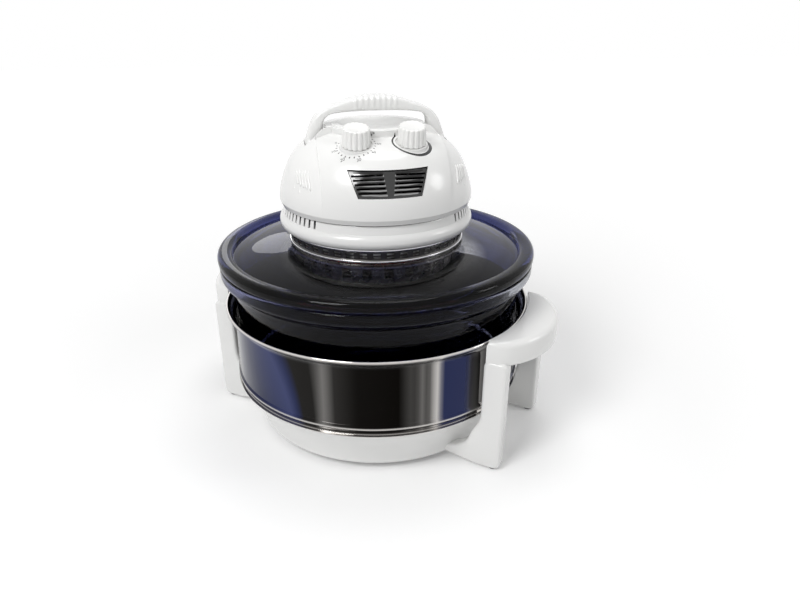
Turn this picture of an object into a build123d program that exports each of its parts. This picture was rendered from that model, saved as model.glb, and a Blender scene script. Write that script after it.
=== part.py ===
from build123d import *
import os
from math import atan2, cos, degrees, hypot, radians, sin

# Halogen oven: a moulded stand carries a steel extender ring and a glass bowl; the glass lid
# lies on the bowl and carries the domed head with its dials, fan, lamp and bail handle.
# Millimetres, +Z up, origin on the resting plane under the oven's axis, head facing -Y.

# ---------------------------------------------------------------- driving dimensions

# Clearances
SEAT_GAP = 0.3            # between two bodies that rest on each other
RUN_GAP = 0.05            # radial running clearance of a pin or shaft
FIT_GAP = 0.02            # between pieces of one body that sit in each other

# Glass bowl, from its rim inwards and from its foot up
BOWL_RIM_R = 164.0
BOWL_NECK_R = BOWL_RIM_R - 9.6
BOWL_WAIST_R = BOWL_NECK_R - 5.4
BOWL_HIP_R = BOWL_WAIST_R - 8.0
BOWL_FLOOR_R = BOWL_HIP_R - 45.0
BOWL_HEIGHT = 171.5
BOWL_RIM_HEIGHT = 13.0
BOWL_WAIST_DROP = 57.8    # from the rim's top to the waist
BOWL_HIP_RISE = 47.7      # from the foot to the hip
BOWL_GLASS = 5.0

# Extender ring, round the bowl's waist
RING_ROOM = 4.0           # between the bowl's waist and the ring's wall
RING_WALL_R = BOWL_WAIST_R + RING_ROOM
RING_SHEET = 0.9
RING_FLARE = 8.0
RING_LIP_R = RING_WALL_R + RING_FLARE
RING_HEIGHT = 84.7
RING_BEAD_RISE = 1.6

# Stand, round the ring
GRIP_AZIMUTH = 53.7       # direction of the right grip, from the front towards +X
DISH_RIM_R = RING_WALL_R - 2.5
DISH_BASE_R = DISH_RIM_R - 18.5
DISH_BOTTOM_Z = 7.0
DISH_RIM_Z = 54.5
DISH_FLOOR_Z = 12.0
DISH_WALL = 3.2
POST_HALF_SPAN = 61.0     # from a grip's centre line to the middle of its post
POST_WIDTH = 14.0
LIP_ROOM = 1.6            # between the ring's lip and the posts
POST_DEPTH = 8.5          # from that room to the post's outer face
POST_REACH = RING_LIP_R + RING_SHEET + LIP_ROOM + POST_DEPTH
POST_FOOT_Z = 1.5
ARM_TOP_Z = 20.0
GRIP_OVERHANG = 26.0
GRIP_REACH = POST_REACH + GRIP_OVERHANG
GRIP_CORNER_SPAN = POST_HALF_SPAN + 1.0
GRIP_RISE = 2.5           # grips' tops above the ring's top
GRIP_THICK = 25.0
FOOT_R = 4.6
FOOT_SEAT_DEPTH = 1.5
FOOT_INSET = 10.0
PAD_R = 7.0
PAD_HEIGHT = 3.0
PAD_SEAT_DEPTH = 1.0
PAD_RING_R = BOWL_FLOOR_R - 3.0

# Levels that follow from these
RING_BOTTOM_Z = DISH_RIM_Z + SEAT_GAP
RING_TOP_Z = RING_BOTTOM_Z + RING_HEIGHT
GRIP_TOP_Z = RING_TOP_Z + GRIP_RISE
GRIP_BOTTOM_Z = GRIP_TOP_Z - GRIP_THICK
BOWL_BOTTOM_Z = DISH_FLOOR_Z - PAD_SEAT_DEPTH + PAD_HEIGHT + SEAT_GAP
BOWL_RIM_Z = BOWL_BOTTOM_Z + BOWL_HEIGHT
BOWL_WAIST_Z = BOWL_RIM_Z - BOWL_WAIST_DROP
BOWL_HIP_Z = BOWL_BOTTOM_Z + BOWL_HIP_RISE

# Lid glass
LID_R = BOWL_RIM_R + 1.0
LID_RIM_INNER_R = LID_R - 15.0
LID_RIM_HEIGHT = 12.0
LID_STEP = 5.0            # drop from the rim's top to the lid's dome
LID_NECK_R = 90.0
LID_NECK_RISE = 7.2       # from the rim's top to the neck's top
LID_HOLE_R = LID_NECK_R - 5.4
LID_GLASS = 5.0
LID_LOCATOR_DEPTH = 5.0
LID_SEAT_Z = BOWL_RIM_Z + SEAT_GAP
LID_TOP_Z = LID_SEAT_Z + LID_RIM_HEIGHT
LID_NECK_Z = LID_TOP_Z + LID_NECK_RISE

# Collar
TRIM_HEIGHT = 2.4
COLLAR_BOTTOM_R = LID_NECK_R - 1.0
COLLAR_TOP_R = COLLAR_BOTTOM_R + 2.0
COLLAR_HEIGHT = 9.4
COLLAR_SHEET = 1.0
COLLAR_SLOTS = 44
COLLAR_SLOT_LENGTH = 7.0
COLLAR_SLOT_HEIGHT = 2.2
COLLAR_Z = LID_NECK_Z + FIT_GAP + TRIM_HEIGHT

# Head, lower housing
HOUSING_WALL = 2.6
NECK_R = COLLAR_TOP_R + 3.0
BULGE_R = NECK_R + 5.0
BULGE_RISE = 8.5          # from the housing's bottom to the widest line
HOUSING_HEIGHT = 29.0
HOUSING_Z = COLLAR_Z + COLLAR_HEIGHT + TRIM_HEIGHT
HOUSING_FLOOR_Z = HOUSING_Z + HOUSING_WALL
HOUSING_TOP_Z = HOUSING_Z + HOUSING_HEIGHT
VENT_COUNT = 9
VENT_START = 46.0         # azimuth of the first slot from the front, either side
VENT_PITCH = 4.2
VENT_WIDTH = 2.5
VENT_BOTTOM_RISE = 15.5
VENT_HEIGHT = 10.0
AIR_HOLE_R = 12.0
BOSS_RING_R = NECK_R - 13.0
BOSS_R = 4.5
BOSS_START = -60.0        # polar angle of the first of three screw bosses
SCREW_R = 1.5
SCREW_HEAD_R = 3.0
SCREW_HEAD = 2.2
SCREW_LENGTH = 36.0

# Head, dome: growth of the neck's radius and rise over the housing's bottom along its two outlines
DOME_LIP_Z = HOUSING_Z + 24.48
SIDE_STEPS = ((4, 29.48), (0, 50.48), (-13, 75.48), (-34, 94.48), (-47.4, 100.98))
FRONT_STEPS = (
    (4, 29.48),
    (1.6, 50.48),
    (-3.6, 65.48),
    (-9.4, 75.48),
    (-16.5, 83.48),
    (-26, 88.48),
    (-48, 95.98),
)
SIDE_OUTLINE = [(NECK_R + growth, HOUSING_Z + rise) for growth, rise in SIDE_STEPS]
FRONT_OUTLINE = [(NECK_R + growth, HOUSING_Z + rise) for growth, rise in FRONT_STEPS]
CROWN_EDGE_R = NECK_R - 47.0
CROWN_Z = HOUSING_Z + 100.98
CROWN_R = CROWN_EDGE_R - 3.5
CROWN_SINK = 1.0
CROWN_SKIRT = 5.0
CROWN_DISH = 5.4
DOME_OPENING_REACH = 1.2 * BULGE_R
PANEL_HALF_WIDTH = 61.0   # the front panel between the cheeks
PANEL_TOOL = 2 * BULGE_R  # box that parts the panel from the dome, larger than the head
CHEEK_RIBS = 5
CHEEK_RIB_R = 1.5
CHEEK_RIB_START = 82.0    # azimuth of the rearmost rib
CHEEK_RIB_PITCH = 6.0

# Grille
GRILLE_TOP_Z = HOUSING_Z + 73.48
GRILLE_BOTTOM_Z = GRILLE_TOP_Z - 24.0
GRILLE_TOP_HALF = 37.5
GRILLE_BOTTOM_HALF = 29.5
GRILLE_BAR_TOP_HALF = 6.5
GRILLE_BAR_BOTTOM_HALF = 3.2
GRILLE_FRAME = 2.0
GRILLE_DEPTH = 4.0
GRILLE_PROUD = 0.6
LOUVRES = 5

# Dials
DIAL_X = 26.0
DIAL_Y = -56.0
DIAL_SEAT_Z = HOUSING_Z + 90.68
DIAL_TILT = 14.0
DIAL_PAD_R = 15.2
DIAL_PAD_THICK = 3.0
KNOB_R = 13.6
KNOB_TOP_R = 12.4
KNOB_HEIGHT = 17.0
KNOB_LIFT = 0.4
KNOB_FLUTES = 16
KNOB_FLUTE_R = 1.3
SPINDLE_R = 3.0
SPINDLE_INSIDE = 14.0

# Bail handle
PIVOT_Z = HOUSING_Z + 80.48
PIVOT_R = 3.5
HANDLE_HALF_WIDTH = 70.0
HANDLE_INNER_HALF = 52.0
OUTER_STEPS = ((0, 5), (-4, 16), (-7.5, 25), (-14, 33), (-23.5, 37.5), (-35.5, 41.5), (-45.5, 45))
INNER_STEPS = ((0, 17), (-0.6, 25), (-4, 29.5), (-13, 31.5), (-28, 32.6))
HANDLE_OUTER = [(HANDLE_HALF_WIDTH + step, PIVOT_Z + rise) for step, rise in OUTER_STEPS]
HANDLE_OUTER.append((0, PIVOT_Z + 48.0))
HANDLE_INNER = [(HANDLE_INNER_HALF + step, PIVOT_Z + rise) for step, rise in INNER_STEPS]
HANDLE_INNER.append((0, PIVOT_Z + 33.0))
HANDLE_HALF_DEPTH = 11.0
HANDLE_EDGE = 3.5
HANDLE_ROOT_R = 14.0
HANDLE_FOLD = 28.0        # degrees from upright to pressed back
POCKET_GAP = 0.8
POCKET_SIDE_GAP = 2.6     # inside each leg, where the folded bail comes nearest to the crown
GRIP_RIBS = 8
GRIP_RIB_PITCH = 5.6
GRIP_RIB_WIDTH = 3.0
GRIP_RIB_PROUD = 0.8

# Hot side
SHIELD_R = LID_HOLE_R - 2.0
SHIELD_FLANGE_R = SHIELD_R + 2.2
SHIELD_FLOOR_Z = LID_NECK_Z - 3.3
SHIELD_SHEET = 0.8
SHAFT_HOLE_R = 8.0
CLAMP_R = LID_HOLE_R + 5.4
GUARD_BOTTOM_Z = SHIELD_FLOOR_Z - 25.0
GUARD_TOP_R = SHIELD_R - 0.6
GUARD_BOTTOM_R = GUARD_TOP_R - 5.0
GUARD_SLOTS = 24
LAMP_RING_R = 60.0
LAMP_TUBE_R = 4.5
LAMP_Z = SHIELD_FLOOR_Z - 12.5
LAMP_GAP_ANGLE = 16.0     # half of the gap between the tube's two ends
HOLDER_WIDTH = 12.0

# Fans and motor
SHAFT_R = 3.0
SHAFT_BOTTOM_Z = SHIELD_FLOOR_Z - 21.0
FAN_R = 46.0
FAN_Z = SHIELD_FLOOR_Z - 7.6
FAN_BLADES = 8
FAN_SHEET = 0.8
FAN_BLADE_HEIGHT = 9.0
COOLER_R = 40.0
COOLER_BLADES = 9
MOTOR_Z = HOUSING_FLOOR_Z + 24.88
COOLER_Z = MOTOR_Z + 23.0
SHAFT_TOP_Z = COOLER_Z + 10.0
MOTOR_STACK = 16.0
MOTOR_HALF_WIDTH = 24.0
MOTOR_FRONT = 21.0
MOTOR_BACK = 39.0
CORE_BAR = 8.0
COIL_LENGTH = 26.0
COIL_WALL = 6.0
ROTOR_R = 12.0
AIR_GAP = 0.4
BRACKET_SPAN = 16.0       # bearing bridges' distance from the stack's middle
BEARING_R = 6.0
POST_BOLT_X = 18.5
POST_BOLT_Y = 16.0
MOTOR_POST_R = 3.2

# Controls inside
TIMER_R = 13.2
TIMER_DEPTH = 19.0
SWITCH_LENGTH = 20.0
SWITCH_WIDTH = 5.0
SWITCH_HEIGHT = 10.0
CAM_BASE_R = 7.5
CAM_RISE = 1.6            # plunger travel over the handle's whole fold
CAM_WIDTH = 3.2
CAM_CLEAR = 0.45          # between the cam's rise and the plunger's round top
PLUNGER_R = 1.4
CORD_INLET_R = 6.0
CORD_INLET_Z = HOUSING_Z + 38.48

os.makedirs("parts", exist_ok=True)


# ---------------------------------------------------------------- shared values and helpers

SECTION = Plane.XZ        # profiles that are turned about the oven's axis


def direction(azimuth):
    """Unit vector on the ground, azimuth in degrees from the front towards +X."""
    return Vector(sin(radians(azimuth)), -cos(radians(azimuth)), 0)


def side_plane(azimuth, height=0.0):
    """Level plane whose x axis points away from the oven's axis at the azimuth."""
    return Plane(origin=(0, 0, height), x_dir=direction(azimuth), z_dir=(0, 0, 1))


def upright_plane(azimuth, across=0.0):
    """Upright plane with x away from the axis and y upwards, shifted sideways by across."""
    outward = direction(azimuth)
    sideways = Vector(0, 0, 1).cross(outward)
    return Plane(origin=sideways * across, x_dir=outward, z_dir=outward.cross(Vector(0, 0, 1)))


RING_CLEAR_R = RING_WALL_R + RING_BEAD_RISE + RING_SHEET + 1.8
LIP_CLEAR_R = RING_LIP_R + RING_SHEET + LIP_ROOM
LIP_CLEAR_Z = RING_TOP_Z - 12.0
POCKET_X = HANDLE_INNER_HALF - POCKET_SIDE_GAP
GRIP_AZIMUTHS = (GRIP_AZIMUTH, GRIP_AZIMUTH + 180)
FOOT_PLACES = [(POST_REACH - FOOT_INSET, side * POST_HALF_SPAN) for side in (1, -1)]


# ---------------------------------------------------------------- stand

with BuildPart() as base_stand:
    # Dish: its outer form first, hollowed once the arms and grips are on
    with BuildSketch(SECTION):
        with BuildLine():
            Polyline(
                (0, DISH_FLOOR_Z - DISH_WALL),
                (DISH_BASE_R - 8, DISH_FLOOR_Z - DISH_WALL),
                (DISH_BASE_R - 7, DISH_BOTTOM_Z),
                (DISH_BASE_R - 3, DISH_BOTTOM_Z),
            )
            ThreePointArc(
                (DISH_BASE_R - 3, DISH_BOTTOM_Z),
                (DISH_BASE_R - 0.6, DISH_BOTTOM_Z + 1.4),
                (DISH_BASE_R, DISH_BOTTOM_Z + 4),
            )
            ThreePointArc(
                (DISH_BASE_R, DISH_BOTTOM_Z + 4),
                (DISH_BASE_R + 6, (DISH_BOTTOM_Z + DISH_RIM_Z) / 2),
                (DISH_RIM_R, DISH_RIM_Z - 3),
            )
            Polyline(
                (DISH_RIM_R, DISH_RIM_Z - 3),
                (DISH_RIM_R, DISH_RIM_Z),
                (0, DISH_RIM_Z),
                (0, DISH_FLOOR_Z - DISH_WALL),
            )
        make_face()
    revolve(axis=Axis.Z)

    # Arm and post in one profile, thickened sideways, one pair under each grip
    for grip in GRIP_AZIMUTHS:
        for side in (-1, 1):
            with BuildSketch(upright_plane(grip, side * POST_HALF_SPAN)):
                with BuildLine():
                    Polyline(
                        (DISH_BASE_R - 22, DISH_BOTTOM_Z + 1),
                        (DISH_BASE_R + 14, POST_FOOT_Z),
                        (POST_REACH - 2, POST_FOOT_Z),
                        (POST_REACH, GRIP_BOTTOM_Z + 4),
                        (DISH_BASE_R + 8, GRIP_BOTTOM_Z + 4),
                        (DISH_BASE_R + 8, DISH_RIM_Z - 14),
                        (DISH_BASE_R + 2, ARM_TOP_Z + 5),
                        (DISH_BASE_R - 8, ARM_TOP_Z - 2),
                        (DISH_BASE_R - 22, ARM_TOP_Z - 3),
                        close=True,
                    )
                make_face()
            extrude(amount=POST_WIDTH / 2, both=True)

        # Crescent grip across the tops of the two posts
        with BuildSketch(side_plane(grip, GRIP_BOTTOM_Z)):
            with BuildLine():
                ThreePointArc(
                    (POST_REACH, GRIP_CORNER_SPAN),
                    (GRIP_REACH, 0),
                    (POST_REACH, -GRIP_CORNER_SPAN),
                )
                Polyline(
                    (POST_REACH, -GRIP_CORNER_SPAN),
                    (POST_REACH - 10, -POST_HALF_SPAN - POST_WIDTH / 2),
                    (DISH_BASE_R + 8, -POST_HALF_SPAN - POST_WIDTH / 2),
                    (DISH_BASE_R + 8, POST_HALF_SPAN + POST_WIDTH / 2),
                    (POST_REACH - 10, POST_HALF_SPAN + POST_WIDTH / 2),
                    (POST_REACH, GRIP_CORNER_SPAN),
                )
            make_face()
        extrude(amount=GRIP_TOP_Z - GRIP_BOTTOM_Z)

    # Room for the bowl in the dish and for the ring between the posts
    with BuildSketch(SECTION):
        with BuildLine():
            Polyline(
                (0, DISH_FLOOR_Z),
                (DISH_BASE_R - DISH_WALL - 14, DISH_FLOOR_Z),
            )
            ThreePointArc(
                (DISH_BASE_R - DISH_WALL - 14, DISH_FLOOR_Z),
                (DISH_BASE_R - DISH_WALL - 2.5, DISH_FLOOR_Z + 5),
                (DISH_BASE_R - DISH_WALL + 2.5, DISH_FLOOR_Z + 14),
            )
            Polyline(
                (DISH_BASE_R - DISH_WALL + 2.5, DISH_FLOOR_Z + 14),
                (DISH_RIM_R - DISH_WALL - 2, DISH_RIM_Z),
                (RING_CLEAR_R, DISH_RIM_Z),
                (RING_CLEAR_R, LIP_CLEAR_Z),
                (LIP_CLEAR_R, LIP_CLEAR_Z + 6),
                (LIP_CLEAR_R, GRIP_TOP_Z + 1),
                (0, GRIP_TOP_Z + 1),
                (0, DISH_FLOOR_Z),
            )
        make_face()
    revolve(axis=Axis.Z, mode=Mode.SUBTRACT)

    # Soft edges that the hands and the eye meet
    grip_edges = base_stand.edges().filter_by(
        lambda e: e.center().Z > GRIP_TOP_Z - 0.1 and hypot(e.center().X, e.center().Y) > LIP_CLEAR_R + 2
    )
    fillet(grip_edges, radius=7.0)

    # Seats of the feet and of the bowl pads
    for grip in GRIP_AZIMUTHS:
        with BuildSketch(side_plane(grip, POST_FOOT_Z)):
            with Locations(*FOOT_PLACES):
                Circle(FOOT_R + FIT_GAP)
        extrude(amount=FOOT_SEAT_DEPTH, mode=Mode.SUBTRACT)
    with BuildSketch(Plane.XY.offset(DISH_FLOOR_Z - PAD_SEAT_DEPTH)):
        with PolarLocations(PAD_RING_R, 4, start_angle=45):
            Circle(PAD_R + FIT_GAP)
    extrude(amount=PAD_SEAT_DEPTH, mode=Mode.SUBTRACT)

base_stand.part.label = "base_stand"
export_step(base_stand.part, "parts/base_stand.step")

with BuildPart() as rubber_feet:
    for grip in GRIP_AZIMUTHS:
        with BuildSketch(side_plane(grip)):
            with Locations(*FOOT_PLACES):
                Circle(FOOT_R)
        extrude(amount=POST_FOOT_Z + FOOT_SEAT_DEPTH - FIT_GAP, taper=3)

rubber_feet.part.label = "rubber_feet"
export_step(rubber_feet.part, "parts/rubber_feet.step")

with BuildPart() as bowl_pads:
    with BuildSketch(Plane.XY.offset(DISH_FLOOR_Z - PAD_SEAT_DEPTH + FIT_GAP)):
        with PolarLocations(PAD_RING_R, 4, start_angle=45):
            Circle(PAD_R)
    extrude(amount=PAD_HEIGHT - FIT_GAP)
    fillet(bowl_pads.faces().group_by(Axis.Z)[-1].edges(), radius=0.8)

bowl_pads.part.label = "bowl_pads"
export_step(bowl_pads.part, "parts/bowl_pads.step")


# ---------------------------------------------------------------- extender ring

with BuildPart() as extender_ring:
    bead_r = RING_WALL_R + RING_BEAD_RISE
    with BuildSketch(SECTION):
        with BuildLine() as sheet_line:
            FilletPolyline(
                (bead_r + 0.6, RING_BOTTOM_Z + RING_SHEET / 2),
                (RING_WALL_R - 0.8, RING_BOTTOM_Z + RING_SHEET / 2 + 0.6),
                (RING_WALL_R - 0.8, RING_BOTTOM_Z + 5.2),
                (bead_r, RING_BOTTOM_Z + 7.6),
                (bead_r, RING_BOTTOM_Z + 9.6),
                (RING_WALL_R, RING_BOTTOM_Z + 12.0),
                (RING_WALL_R, RING_TOP_Z - 14.0),
                (RING_WALL_R + 2.4, RING_TOP_Z - 8.0),
                (RING_LIP_R - 2.2, RING_TOP_Z - 5.4),
                (RING_LIP_R - 0.8, RING_TOP_Z - RING_SHEET / 2),
                (RING_LIP_R + 0.9, RING_TOP_Z - RING_SHEET / 2 - 0.9),
                (RING_LIP_R + 0.7, RING_TOP_Z - 3.4),
                radius=0.7,
            )
            offset(amount=RING_SHEET / 2, side=Side.BOTH)
        make_face()
    revolve(axis=Axis.Z)

extender_ring.part.label = "extender_ring"
export_step(extender_ring.part, "parts/extender_ring.step")


# ---------------------------------------------------------------- glass bowl

with BuildPart() as glass_bowl:
    tuck_z = BOWL_RIM_Z - BOWL_RIM_HEIGHT
    with BuildSketch(SECTION):
        with BuildLine():
            # Outside, from the foot up to the rim
            Polyline(
                (0, BOWL_BOTTOM_Z + 1.2),
                (BOWL_FLOOR_R - 5, BOWL_BOTTOM_Z + 1.2),
                (BOWL_FLOOR_R - 3.8, BOWL_BOTTOM_Z),
                (BOWL_FLOOR_R, BOWL_BOTTOM_Z),
            )
            outer_foot = ThreePointArc(
                (BOWL_FLOOR_R, BOWL_BOTTOM_Z),
                (BOWL_FLOOR_R + 0.7 * (BOWL_HIP_R - BOWL_FLOOR_R), BOWL_BOTTOM_Z + 14),
                (BOWL_HIP_R, BOWL_HIP_Z),
            )
            Line(outer_foot @ 1, (BOWL_WAIST_R, BOWL_WAIST_Z))
            Line((BOWL_WAIST_R, BOWL_WAIST_Z), (BOWL_NECK_R, tuck_z - 7))
            ThreePointArc(
                (BOWL_NECK_R, tuck_z - 7),
                (BOWL_NECK_R + 2.4, tuck_z - 3.2),
                (BOWL_RIM_R - 2, tuck_z),
            )
            ThreePointArc(
                (BOWL_RIM_R - 2, tuck_z),
                (BOWL_RIM_R - 0.2, tuck_z + 3),
                (BOWL_RIM_R, tuck_z + 6),
            )
            Line((BOWL_RIM_R, tuck_z + 6), (BOWL_RIM_R, BOWL_RIM_Z - 2.5))
            ThreePointArc(
                (BOWL_RIM_R, BOWL_RIM_Z - 2.5),
                (BOWL_RIM_R - 0.7, BOWL_RIM_Z - 0.7),
                (BOWL_RIM_R - 2.5, BOWL_RIM_Z),
            )
            # Inside, back down to the floor
            Polyline(
                (BOWL_RIM_R - 2.5, BOWL_RIM_Z),
                (BOWL_NECK_R - BOWL_GLASS + 2, BOWL_RIM_Z),
                (BOWL_NECK_R - BOWL_GLASS, BOWL_RIM_Z - 2),
                (BOWL_NECK_R - BOWL_GLASS, tuck_z - 7),
                (BOWL_WAIST_R - BOWL_GLASS, BOWL_WAIST_Z),
                (BOWL_HIP_R - BOWL_GLASS, BOWL_HIP_Z),
            )
            ThreePointArc(
                (BOWL_HIP_R - BOWL_GLASS, BOWL_HIP_Z),
                (BOWL_FLOOR_R - 3 + 0.7 * (BOWL_HIP_R - BOWL_FLOOR_R), BOWL_BOTTOM_Z + BOWL_GLASS + 13.6),
                (BOWL_FLOOR_R - 2, BOWL_BOTTOM_Z + BOWL_GLASS + 0.8),
            )
            Polyline(
                (BOWL_FLOOR_R - 2, BOWL_BOTTOM_Z + BOWL_GLASS + 0.8),
                (0, BOWL_BOTTOM_Z + BOWL_GLASS + 0.8),
                (0, BOWL_BOTTOM_Z + 1.2),
            )
        make_face()
    revolve(axis=Axis.Z)

glass_bowl.part.label = "glass_bowl"
export_step(glass_bowl.part, "parts/glass_bowl.step")


# ---------------------------------------------------------------- lid glass

with BuildPart() as lid_glass:
    locator_r = BOWL_NECK_R - BOWL_GLASS - 1.2
    dome_edge_z = LID_TOP_Z - LID_STEP
    with BuildSketch(SECTION):
        with BuildLine():
            Polyline(
                (locator_r - 3.4, LID_SEAT_Z - LID_LOCATOR_DEPTH),
                (locator_r, LID_SEAT_Z - LID_LOCATOR_DEPTH),
                (locator_r, LID_SEAT_Z),
                (LID_R - 3, LID_SEAT_Z),
            )
            ThreePointArc(
                (LID_R - 3, LID_SEAT_Z),
                (LID_R - 0.4, LID_SEAT_Z + 2),
                (LID_R, LID_SEAT_Z + 5),
            )
            ThreePointArc(
                (LID_R, LID_SEAT_Z + 5),
                (LID_R - 1.4, LID_TOP_Z - 1.8),
                (LID_R - 5, LID_TOP_Z),
            )
            Polyline((LID_R - 5, LID_TOP_Z), (LID_RIM_INNER_R + 3, LID_TOP_Z - 0.4))
            ThreePointArc(
                (LID_RIM_INNER_R + 3, LID_TOP_Z - 0.4),
                (LID_RIM_INNER_R + 0.6, LID_TOP_Z - 2.2),
                (LID_RIM_INNER_R - 1, dome_edge_z),
            )
            ThreePointArc(
                (LID_RIM_INNER_R - 1, dome_edge_z),
                ((LID_RIM_INNER_R + LID_NECK_R) / 2, (dome_edge_z + LID_NECK_Z) / 2 + 1.2),
                (LID_NECK_R + 4, LID_NECK_Z - 1.2),
            )
            Polyline(
                (LID_NECK_R + 4, LID_NECK_Z - 1.2),
                (LID_NECK_R, LID_NECK_Z),
                (LID_HOLE_R, LID_NECK_Z),
                (LID_HOLE_R, LID_NECK_Z - LID_GLASS),
                (LID_NECK_R + 4, LID_NECK_Z - LID_GLASS - 1),
            )
            ThreePointArc(
                (LID_NECK_R + 4, LID_NECK_Z - LID_GLASS - 1),
                (
                    (LID_RIM_INNER_R + LID_NECK_R) / 2,
                    (dome_edge_z + LID_NECK_Z) / 2 + 1.2 - LID_GLASS,
                ),
                (locator_r - 3.4, LID_SEAT_Z + 1.0),
            )
            Line((locator_r - 3.4, LID_SEAT_Z + 1.0), (locator_r - 3.4, LID_SEAT_Z - LID_LOCATOR_DEPTH))
        make_face()
    revolve(axis=Axis.Z)

lid_glass.part.label = "lid_glass"
export_step(lid_glass.part, "parts/lid_glass.step")


# ---------------------------------------------------------------- collar between lid and head

with BuildPart() as lower_trim_ring:
    with BuildSketch(SECTION):
        with Locations(((LID_HOLE_R + LID_NECK_R + 0.4) / 2, LID_NECK_Z + FIT_GAP + TRIM_HEIGHT / 2)):
            RectangleRounded(LID_NECK_R + 0.4 - LID_HOLE_R, TRIM_HEIGHT, 0.9)
    revolve(axis=Axis.Z)

lower_trim_ring.part.label = "lower_trim_ring"
export_step(lower_trim_ring.part, "parts/lower_trim_ring.step")

with BuildPart() as collar_band:
    band_bottom = COLLAR_Z + FIT_GAP
    band_top = COLLAR_Z + COLLAR_HEIGHT - FIT_GAP
    with BuildSketch(SECTION):
        with BuildLine():
            Polyline(
                (COLLAR_BOTTOM_R - COLLAR_SHEET, band_bottom),
                (COLLAR_BOTTOM_R, band_bottom),
                (COLLAR_TOP_R, band_top),
                (COLLAR_TOP_R - COLLAR_SHEET, band_top),
                close=True,
            )
        make_face()
    revolve(axis=Axis.Z)
    slot_cut_depth = 8 * COLLAR_SHEET
    with PolarLocations((COLLAR_BOTTOM_R + COLLAR_TOP_R - COLLAR_SHEET) / 2, COLLAR_SLOTS):
        for row in (0.32, 0.68):
            with Locations((0, 0, COLLAR_Z + COLLAR_HEIGHT * row)):
                Box(slot_cut_depth, COLLAR_SLOT_LENGTH, COLLAR_SLOT_HEIGHT, mode=Mode.SUBTRACT)

collar_band.part.label = "collar_band"
export_step(collar_band.part, "parts/collar_band.step")

with BuildPart() as upper_trim_ring:
    with BuildSketch(SECTION):
        with Locations((COLLAR_TOP_R - 2.2, COLLAR_Z + COLLAR_HEIGHT + TRIM_HEIGHT / 2)):
            RectangleRounded(7.4, TRIM_HEIGHT - FIT_GAP, 0.9)
    revolve(axis=Axis.Z)

upper_trim_ring.part.label = "upper_trim_ring"
export_step(upper_trim_ring.part, "parts/upper_trim_ring.step")


# ---------------------------------------------------------------- head: lower housing

with BuildPart() as lower_housing:
    spigot_r = NECK_R - 1.0
    with BuildSketch(SECTION):
        with BuildLine():
            Polyline((0, HOUSING_Z), (BULGE_R - 5, HOUSING_Z))
            ThreePointArc(
                (BULGE_R - 5, HOUSING_Z),
                (BULGE_R - 1.4, HOUSING_Z + 2.6),
                (BULGE_R, HOUSING_Z + BULGE_RISE),
            )
            ThreePointArc(
                (BULGE_R, HOUSING_Z + BULGE_RISE),
                (BULGE_R - 1.2, HOUSING_Z + BULGE_RISE + 4),
                (NECK_R + 1.4, HOUSING_Z + VENT_BOTTOM_RISE - 0.5),
            )
            Polyline(
                (NECK_R + 1.4, HOUSING_Z + VENT_BOTTOM_RISE - 0.5),
                (NECK_R, DOME_LIP_Z - 2),
                (spigot_r, DOME_LIP_Z),
                (spigot_r, HOUSING_TOP_Z),
                (0, HOUSING_TOP_Z),
                (0, HOUSING_Z),
            )
        make_face()
    revolve(axis=Axis.Z)
    with BuildSketch(SECTION):
        with BuildLine():
            Polyline(
                (0, HOUSING_FLOOR_Z),
                (BULGE_R - 5 - HOUSING_WALL, HOUSING_FLOOR_Z),
                (BULGE_R - HOUSING_WALL, HOUSING_Z + BULGE_RISE),
                (spigot_r - HOUSING_WALL, HOUSING_Z + VENT_BOTTOM_RISE),
                (spigot_r - HOUSING_WALL, HOUSING_TOP_Z),
                (0, HOUSING_TOP_Z),
                close=True,
            )
        make_face()
    revolve(axis=Axis.Z, mode=Mode.SUBTRACT)

    # Screw bosses, the shaft's air hole and the vent slots
    with BuildSketch(Plane.XY.offset(HOUSING_FLOOR_Z - 1)):
        with PolarLocations(BOSS_RING_R, 3, start_angle=BOSS_START):
            Circle(BOSS_R)
    extrude(amount=HOUSING_TOP_Z - HOUSING_FLOOR_Z + 1)
    with BuildSketch(Plane.XY.offset(HOUSING_Z)):
        Circle(AIR_HOLE_R)
        with PolarLocations(BOSS_RING_R, 3, start_angle=BOSS_START):
            Circle(SCREW_R + FIT_GAP)
    extrude(amount=HOUSING_HEIGHT, mode=Mode.SUBTRACT)
    with BuildSketch(Plane.XY.offset(HOUSING_Z)):
        with PolarLocations(BOSS_RING_R, 3, start_angle=BOSS_START):
            Circle(SCREW_HEAD_R + FIT_GAP)
    extrude(amount=SCREW_HEAD + FIT_GAP, mode=Mode.SUBTRACT)
    vent_middle_z = HOUSING_Z + VENT_BOTTOM_RISE + VENT_HEIGHT / 2
    vent_sweep = (VENT_COUNT - 1) * VENT_PITCH
    for first in (VENT_START - 90, -90 - VENT_START - vent_sweep):
        with PolarLocations(
            NECK_R - 1, VENT_COUNT, start_angle=first, angular_range=vent_sweep, endpoint=True
        ):
            with Locations((0, 0, vent_middle_z)):
                Box(12, VENT_WIDTH, VENT_HEIGHT, mode=Mode.SUBTRACT)

lower_housing.part.label = "lower_housing"
export_step(lower_housing.part, "parts/lower_housing.step")


# ---------------------------------------------------------------- head: dome


def shifted(outline, shift):
    """Outline points moved square to the outline by shift."""
    moved = []
    for index, (radius, height) in enumerate(outline):
        before = outline[max(index - 1, 0)]
        after = outline[min(index + 1, len(outline) - 1)]
        run = after[0] - before[0]
        rise = after[1] - before[1]
        length = hypot(run, rise)
        moved.append((radius + shift * rise / length, height - shift * run / length))
    return moved


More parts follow.
